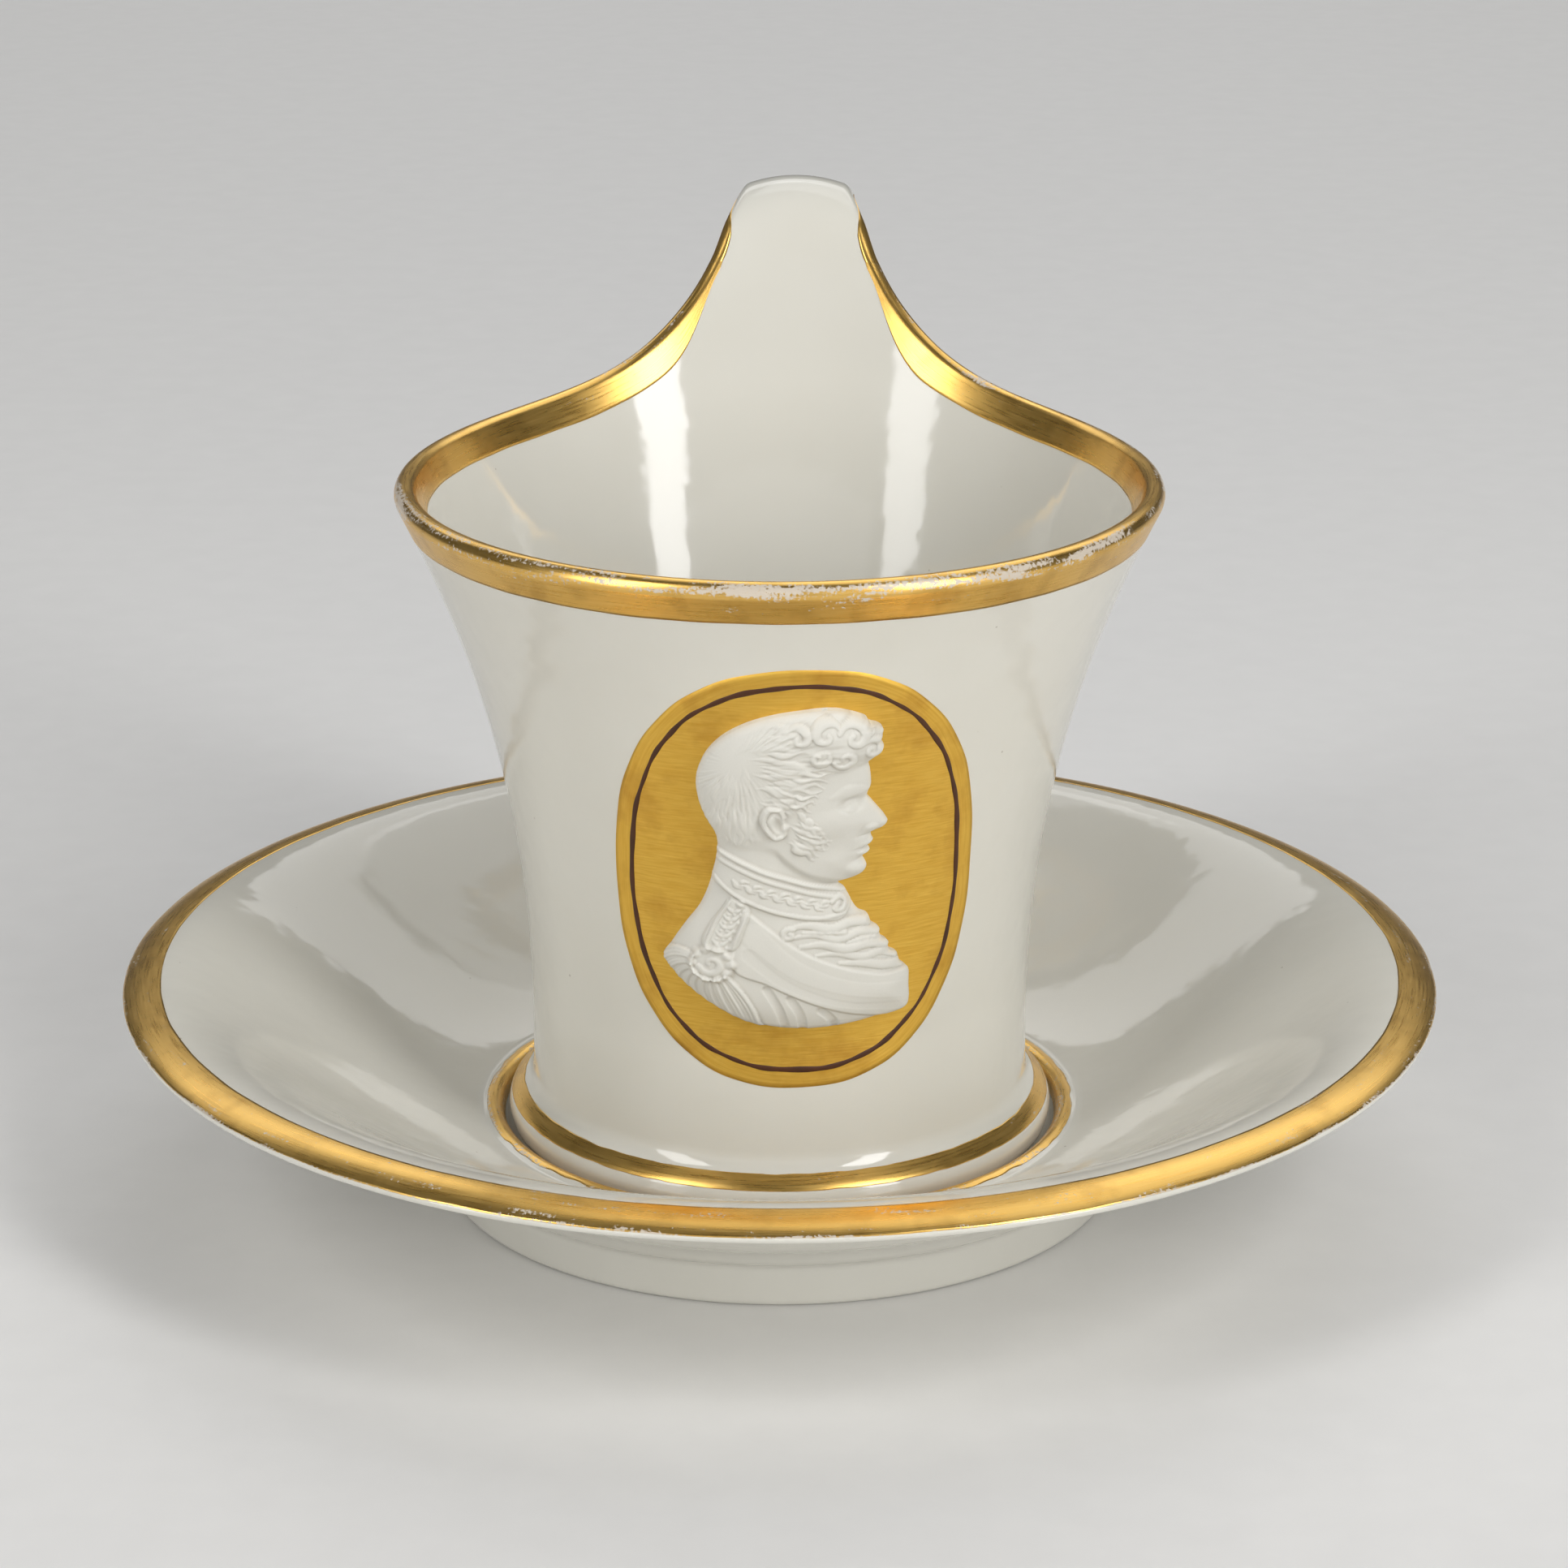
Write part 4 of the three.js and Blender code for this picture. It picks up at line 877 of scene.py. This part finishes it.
def nearest(line, px, py):
    """How far points are from a line, and the share of the line at the nearest place."""
    best, where = np.full(px.shape, 1e9), np.zeros(px.shape)
    for i, (start, end) in enumerate(zip(line, line[1:])):
        run = end - start
        t = np.clip(((px - start[0]) * run[0] + (py - start[1]) * run[1]) / (run @ run), 0, 1)
        far = np.hypot(px - start[0] - t * run[0], py - start[1] - t * run[1])
        closer = far < best
        best[closer], where[closer] = far[closer], ((i + t) / (len(line) - 1))[closer]
    return best, where


def ridge(points, radius, start=1.0, end=1.0, twist=0.0):
    """A half-round roll along a line, 1 high. Start and end thin its ends, and twist makes it a cord."""
    line = through(points, max(12, 5 * len(points)))
    low, high = line.min(axis=0) - radius, line.max(axis=0) + radius
    near = (x > low[0]) & (x < high[0]) & (y > low[1]) & (y < high[1])
    raised = np.zeros(x.shape)
    far, share = nearest(line, x[near], y[near])
    here = radius * (start + (1 - start) * smooth(0, 0.4, share)) * (1 + (end - 1) * smooth(0.4, 1, share))
    roll = np.sqrt(np.clip(1 - (far / here) ** 2, 0, 1)) * here / radius
    raised[near] = roll * (1 + twist * (np.sin(share * 34.0) - 1) / 2)
    return raised


def plate(points, softness):
    """A flat layer inside a smooth closed line, 1 high, with an edge as wide as its softness."""
    line = through(list(points) + [points[0]], 8 * len(points))
    far, _ = nearest(line, x, y)
    inside = np.zeros(x.shape, bool)
    for (ax, ay), (bx, by) in zip(line, line[1:]):
        if ay != by:
            inside ^= ((ay > y) != (by > y)) & (x < ax + (y - ay) * (bx - ax) / (by - ay))
    return smooth(-softness / 2, softness / 2, np.where(inside, far, -far))


def soften(field, passes):
    """Averages each point with its neighbours along the rows and the columns."""
    for _ in range(passes):
        padded = np.pad(field, 1, mode="edge")
        field = (2 * field + padded[:-2, 1:-1] + padded[2:, 1:-1] + padded[1:-1, :-2] + padded[1:-1, 2:]) / 6
    return field


def curl(across, up, radius, turns, start, way):
    """A spiral lock of hair, from the outside in."""
    t = np.linspace(0, 1, 14)
    swing = np.radians(start) + way * 2 * np.pi * turns * t
    reach = radius * (1 - 0.8 * t)
    return np.stack([across + reach * np.cos(swing), up + reach * np.sin(swing)], -1)


def comb(roots, tips, count, wave, radius, lift):
    """A row of wavy locks from a line of roots to a line of tips. No two of them are alike."""
    made = []
    t = np.linspace(0, 1, 9)[:, None]
    for i, (root, tip) in enumerate(zip(through(roots, count), through(tips, count))):
        odd = (0.618 * i) % 1.0
        root = root + (tip - root) * 0.3 * ((0.763 * i) % 1.0)
        side = np.array([root[1] - tip[1], tip[0] - root[0]]) / np.linalg.norm(tip - root)
        bends = 1.3 + 0.7 * odd
        sway = wave * np.sin(2 * np.pi * (bends * t + odd)) * (0.4 + 0.6 * t)
        lock = ridge(root + (tip - root) * t + side * sway, radius * (0.8 + 0.45 * odd), 0.12, 0.2)
        made.append(lift * (0.65 + 0.5 * ((0.37 * i) % 1.0)) * lock)
    return made


# %% [markdown]
# ### Large forms and face
# A modeller first raises the round masses of head, neck and body, and then cuts below the jaw. The face is
# built from swellings and thin rolls: brow, lids, nose, lips and chin.

# %% Masses of head and body
dome = 1 - (1 - np.clip(edge_distance / 4.6, 0, 1)) ** 2.4
height = 0.25 + 0.5 * np.sqrt(1 - (1 - np.clip(edge_distance / 0.6, 0, 1)) ** 2) + 1.05 * soften(dome, 25)
height += 0.35 * swelling(-2.0, 12.2, 10.5, 10.0) + 0.2 * swelling(2.6, 6.6, 5.5, 6.5)
height += 0.35 * swelling(0.0, -12.5, 15.0, 9.0) + 0.3 * swelling(-8.6, -9.4, 6.0, 6.0)
jaw = through([
    (-10.0, 3.9), (-6.5, 4.6), (-4.0, 4.9), (-2.6, 4.4), (-1.4, 3.0), (0.4, 1.5), (2.8, 0.4),
    (5.0, -0.25), (6.5, -0.5), (14.0, -0.5)], 80)
below_jaw = np.interp(x, jaw[:, 0], jaw[:, 1]) - y
step = 0.14 + 0.36 * smooth(-4.0, -0.5, x)
height -= step * smooth(-0.35, 0.9, below_jaw) * smooth(9.0, 2.0, below_jaw)

# %% Face
height -= 0.42 * swelling(5.3, 9.75, 1.9, 1.15) + 0.12 * swelling(3.6, 4.6, 2.4, 1.8)
height += 0.28 * swelling(5.2, 9.45, 0.95, 0.7) + 0.16 * swelling(3.1, 7.7, 2.8, 1.9)
height += 0.13 * ridge([(2.9, 10.9), (4.6, 11.45), (6.3, 11.3), (7.4, 10.8)], 0.85, 0.3, 0.5)
height += 0.13 * ridge([(4.2, 9.5), (5.0, 10.05), (6.0, 9.9)], 0.22, 0.5, 0.5)
height += 0.08 * ridge([(4.3, 9.25), (5.2, 8.95), (6.0, 9.2)], 0.2, 0.5, 0.5)
height += 0.3 * swelling(7.5, 6.35, 0.95, 0.75) - 0.25 * swelling(7.9, 5.8, 0.4, 0.28, 20)
height -= 0.08 * ridge([(6.5, 6.7), (6.1, 5.6), (5.9, 4.6)], 0.45, 0.4, 0.3)
height += 0.14 * swelling(7.2, 4.25, 1.3, 0.5) + 0.17 * swelling(7.0, 3.2, 1.15, 0.5)
height -= 0.24 * ridge([(7.8, 3.75), (6.9, 3.72), (6.1, 3.55)], 0.24, 1.0, 0.4)
height += 0.22 * swelling(6.1, 1.25, 1.6, 1.2) - 0.1 * swelling(6.6, 2.3, 1.2, 0.5)
height = soften(height, 3)

# %% [markdown]
# ### Hair and dress
# Short combed hair with curls over the brow, whiskers, and an ear. The dress is a stiff collar with leaves
# on it, a sash, cords on the chest, and an epaulette with a fringe. Each is a row of rolls laid side by side.

# %% Hair, whiskers and ear
hair = plate([
    (7.0, 14.5), (4.8, 14.4), (2.8, 14.0), (1.4, 12.9), (0.5, 11.4), (-0.2, 9.8), (-1.4, 8.6),
    (-3.4, 6.2), (-4.2, 5.4), (-5.2, 5.5), (-6.2, 4.8), (-7.4, 5.1), (-8.4, 4.5), (-9.8, 4.6),
    (-12.5, 8.0), (-12.5, 16.0), (-7.0, 22.0), (3.0, 23.0), (10.0, 20.0), (9.5, 15.0)], 1.1)
swirl = np.arctan2(y - 15.5, x + 6.5)
from_crown = np.hypot(x + 6.5, y - 15.5)
strand = np.sin(41 * swirl + 2.2 * np.sin(0.7 * from_crown + 3 * swirl) + 1.4 * np.sin(9 * swirl))
strand += 0.6 * np.sin(83 * swirl - 1.8 * np.sin(0.9 * from_crown) + 2.0 * np.sin(7 * swirl))
strand *= 0.6 + 0.4 * np.sin(6 * swirl + 0.8 * from_crown)
height += hair * (0.14 + 0.036 * strand * smooth(0.8, 4.0, from_crown))
height += 0.4 * swelling(4.4, 17.8, 5.4, 3.9)
curls = ((5.3, 18.5, 1.75, 1.05, 160, -1), (2.3, 18.9, 1.6, 0.95, 20, 1), (7.2, 16.6, 1.45, 1.05, 140, -1),
         (4.3, 16.0, 1.3, 0.95, 200, 1), (-0.4, 18.5, 1.35, 0.9, 150, -1), (7.0, 19.0, 0.95, 0.9, 60, 1),
         (1.6, 16.3, 1.15, 0.85, 30, -1))
for across, up, size, *_ in curls:
    height += 0.16 * swelling(across, up, 1.35 * size, 1.25 * size)
locks = [ridge(curl(*each), 0.34 * each[2] + 0.06, 0.45, 0.5) * (0.2 + 0.1 * each[2]) for each in curls]
tresses = (
    ([(-3.6, 19.4), (-5.2, 18.2), (-5.6, 16.6)],
     [(0.4, 19.9), (-0.2, 18.2), (0.6, 16.8)], 6, 0.3, 0.5, 0.2),
    ([(-5.4, 16.0), (-4.9, 13.4), (-4.4, 10.6)],
     [(2.9, 15.3), (1.9, 12.9), (0.6, 9.9)], 13, 0.34, 0.55, 0.27),
    ([(-3.0, 15.4), (-2.6, 13.0), (-2.0, 10.8)],
     [(3.4, 14.6), (2.2, 12.2), (1.0, 9.6)], 8, 0.3, 0.36, 0.36),
    ([(-0.8, 9.7), (-1.1, 8.0), (-1.3, 5.6)],
     [(1.5, 7.6), (3.0, 5.3), (1.5, 3.2)], 9, 0.26, 0.46, 0.3),
    ([(-0.6, 9.0), (-0.7, 7.0)],
     [(2.4, 6.2), (2.6, 4.2)], 5, 0.3, 0.3, 0.36),
    ([(-4.6, 10.2), (-6.6, 10.4), (-9.0, 10.0)],
     [(-4.5, 5.4), (-6.4, 4.7), (-8.9, 4.5)], 9, 0.26, 0.5, 0.15),
    ([(-6.0, 15.4), (-6.8, 14.6), (-8.2, 14.8)],
     [(-5.2, 10.4), (-7.6, 9.4), (-10.0, 9.4)], 7, 0.3, 0.6, 0.09),
    ([(-7.0, 16.0), (-5.6, 16.6)],
     [(-3.0, 19.8), (-2.4, 17.8)], 4, 0.2, 0.55, 0.09))
for tress in tresses:
    locks += comb(*tress)
height += np.max(locks, axis=0)
ear = swelling(-2.7, 7.9, 1.7, 2.6, 12) > 0
height = np.where(ear, np.minimum(height, soften(height, 60) + 0.02), height)
ear_shell = [(-1.7, 8.4), (-2.0, 9.9), (-3.3, 10.1), (-4.0, 8.8), (-3.5, 7.0), (-2.4, 5.8), (-1.7, 6.2)]
ear_rim = [(-1.7, 8.8), (-2.1, 9.8), (-3.2, 9.9), (-3.8, 8.8), (-3.3, 7.1), (-2.4, 6.1), (-1.9, 6.3)]
height += 0.3 * plate(ear_shell, 0.4) + 0.26 * ridge(ear_rim, 0.38, 0.6, 0.8)
height += 0.14 * ridge([(-2.7, 9.2), (-3.1, 8.4), (-2.7, 7.2)], 0.28, 0.4, 0.4)
height += 0.22 * swelling(-1.55, 7.5, 0.5, 0.6) - 0.34 * swelling(-2.25, 7.9, 0.62, 1.15, 10)

# %% Collar, epaulette, sash and braid
collar_top = [(-9.4, 4.3), (-6.5, 3.2), (-3.5, 1.8), (0.0, 0.35), (3.0, -0.6), (5.0, -1.1)]
collar_foot = [(4.9, -4.4), (2.0, -4.6), (-1.5, -3.9), (-4.8, -2.6), (-7.5, -1.0), (-10.2, 1.4)]
height += 0.24 * plate(collar_top + [(5.7, -2.4)] + collar_foot, 0.3)
piping = [ridge([(a + 0.06 * k, u - 0.3 - 0.95 * k) for a, u in collar_top], 0.27) * 0.17 for k in (0, 1)]
piping.append(ridge([(a, u + 0.35) for a, u in collar_foot], 0.25) * 0.14)
stem = through([(-6.8, 0.35), (-3.4, -1.0), (0.0, -2.2), (3.0, -3.0)], 15)
for i, (a, u) in enumerate(stem[:-1]):
    side = 1 if i % 2 else -1
    leaf = [(a, u), (a + 0.42, u + 0.45 * side - 0.1), (a + 0.95, u + 0.5 * side - 0.25)]
    piping.append(ridge(leaf, 0.27, 0.5, 0.5) * 0.17)
piping.append(ridge([(a, u + 0.1 * (-1) ** i) for i, (a, u) in enumerate(stem)], 0.16) * 0.12)
knot = [(3.5, -2.5), (4.3, -2.0), (5.0, -2.6), (4.6, -3.5), (3.8, -3.4), (4.1, -2.8)]
piping.append(ridge(knot, 0.33) * 0.24)
height += np.max(piping, axis=0)

sash = [(-5.2, -3.4), (-2.9, -5.5), (0.6, -8.3), (5.0, -10.5), (9.0, -11.7), (13.5, -12.1), (13.5, -17.2),
        (8.0, -16.9), (3.5, -15.5), (-0.5, -13.6), (-3.4, -12.0), (-6.3, -10.6), (-6.5, -6.5)]
height += 0.3 * plate(sash, 0.35)
height += 0.07 * ridge([(-4.8, -6.0), (-0.5, -10.4), (5.0, -13.2), (12.0, -14.4)], 1.3)
height -= 0.05 * ridge([(-5.0, -8.5), (-1.5, -11.6), (4.0, -14.2), (11.0, -15.8)], 0.8)
braid = [ridge(each, wide, 0.5, 1.0, 0.16) * lift for wide, lift, each in (
    (0.56, 0.3, [(-1.2, -5.4), (1.0, -5.1), (3.4, -5.7), (5.4, -5.2), (7.6, -5.5)]),
    (0.48, 0.24, [(-0.7, -6.5), (1.8, -6.2), (4.0, -6.9), (6.4, -6.4), (8.8, -6.8)]),
    (0.6, 0.3, [(0.2, -7.6), (2.6, -7.4), (4.8, -8.1), (7.0, -7.8), (9.7, -8.3)]),
    (0.46, 0.22, [(1.8, -8.7), (4.2, -8.6), (6.6, -9.3), (8.6, -9.1), (10.6, -9.8)]),
    (0.54, 0.26, [(4.2, -9.8), (6.6, -10.0), (9.0, -10.7), (11.4, -11.0)]),
    (0.34, 0.28, [(0.4, -5.9), (2.6, -6.0), (4.8, -6.2)]),
    (0.32, 0.26, [(5.0, -7.4), (7.0, -7.2), (9.0, -7.6)]))]
braid += [ridge(curl(-1.0, -6.1, 0.75, 1.0, 60, 1), 0.34) * 0.26]
height += np.max(braid, axis=0)

shoulder = (-8.8, -9.7)
shoulder_strap = [(-6.9, -1.7), (-5.1, -2.9), (-5.5, -5.4), (-6.6, -7.9), (-9.8, -7.4), (-9.1, -5.0),
                  (-7.9, -3.2)]
height += 0.26 * plate(shoulder_strap, 0.3)
trim = [ridge([(-5.5, -3.2), (-5.9, -5.4), (-6.9, -7.7)], 0.24) * 0.16]
trim += [ridge([(-7.2, -2.2), (-8.6, -5.0), (-9.4, -7.3)], 0.24) * 0.16]
for k in range(5):
    a, u = -6.5 - 0.36 * k, -3.2 - 1.0 * k
    trim += [0.13 * swelling(a + 0.42 * s, u - 0.45, 0.3, 0.3) for s in (-1.6, 0, 1.6)]
    for s in (-1, 1):
        leaf = [(a - 0.1, u - 0.2), (a + 0.5 * s, u + 0.1), (a + 0.75 * s, u + 0.35)]
        trim.append(ridge(leaf, 0.26, 0.5, 0.5) * 0.16)
swing = np.radians(np.linspace(158, 312, 30))
hem = through([
    (-14.5, -9.4), (-14.3, -10.8), (-12.9, -12.6), (-11.2, -14.1), (-8.9, -15.6), (-6.4, -16.8),
    (-4.0, -17.5)], 30)
for i, (a, end) in enumerate(zip(swing, hem)):
    start = np.array([shoulder[0] + 2.2 * np.cos(a), shoulder[1] + 2.0 * np.sin(a)])
    middle = start + 0.55 * np.linalg.norm(end - start) * np.array([np.cos(a), np.sin(a)])
    trim.append(ridge(bezier([start, middle, end], 5), 0.27 + 0.04 * (i % 2)) * (0.3 + 0.06 * (i % 3)))
height += np.max(trim, axis=0)
boss = swelling(*shoulder, 2.6, 2.4)
height += 0.38 * (boss > 0.02) * smooth(0.0, 0.25, boss)
shell = [ridge(curl(*shoulder, 1.35, 1.0, 200, 1), 0.42, 1.0, 0.5) * 0.2]
for a in np.radians(np.arange(0, 360, 36)):
    shell.append(0.25 * swelling(shoulder[0] + 2.1 * np.cos(a), shoulder[1] + 1.9 * np.sin(a), 0.7, 0.7))
height += np.max(shell, axis=0) + 0.3 * swelling(-5.9, -2.3, 0.6, 0.6)
folds = ([(-3.2, -12.8), (-2.0, -15.2), (-1.2, -18.0)], [(-0.8, -14.0), (0.2, -16.0), (0.6, -18.2)],
         [(2.4, -15.6), (3.6, -17.0), (4.0, -18.3)])
for fold in folds:
    height -= 0.2 * ridge(fold, 0.5)
print("bust, mm high at its highest: %.2f" % height.max())

# %% [markdown]
# ### Biscuit
# Biscuit is bare fired porcelain: white, matt and very slightly grainy. Its hollows get a grey painted shade.
# The field of painted shade is how far a point lies below its neighbours.

# %% Biscuit
def pressed_biscuit(tree):
    """Bare porcelain from a mould: white and matt, with painted shade greying its hollows."""
    place = add_node(tree, "TexCoord").outputs["Object"]
    hollow = add_node(tree, "Attribute", attribute_name="hollow").outputs["Fac"]
    # Grain of the bare clay, 0.15 mm.
    grain = add_node(tree, "TexNoise", {"Vector": place, "Scale": metre / 0.1538,
                                        "Detail": 2.0}).outputs["Fac"]
    tone = add_node(tree, "Mix", {"Factor": grain, "A": linear("#d3d1c8"), "B": linear("#d9d7cf")},
                    data_type="RGBA").outputs["Result"]
    # Painted shade: the hollows are mixed towards grey.
    colour = add_node(tree, "Mix", {"Factor": hollow, "A": tone, "B": linear("#b4aea1")},
                      data_type="RGBA").outputs["Result"]
    grainy = add_node(tree, "Bump", {"Height": grain, "Strength": 0.15, "Distance": 0.00004}).outputs[0]
    return add_node(tree, "BsdfPrincipled", {
        "Base Color": colour, "Roughness": 0.62, "IOR": 1.5, "Normal": grainy})


biscuit = new_material("biscuit_porcelain_pressed", pressed_biscuit)
# Painted shade: each point is greyed by how far it lies below its softened neighbours.
hollow = np.clip((soften(height, 12) - height) / 0.12, 0, 1) * 0.55
flat_x = np.concatenate([x[:, :1], x, x[:, -1:]], axis=1)
flat_y = np.concatenate([y[:, :1], y, y[:, -1:]], axis=1)
raised = np.pad(height, ((0, 0), (1, 1)))
points = wrap(flat_x, flat_y, gold_leaf + raised)
index = numbered(points)
faces = grid_faces(index)
faces += [index[0][::-1].tolist(), index[-1].tolist()]
add_piece("portrait_bust_biscuit", points, faces, biscuit, "cup", ["portrait_relief"], "biscuit",
          hollow=np.pad(hollow, ((0, 0), (1, 1)), mode="edge"))
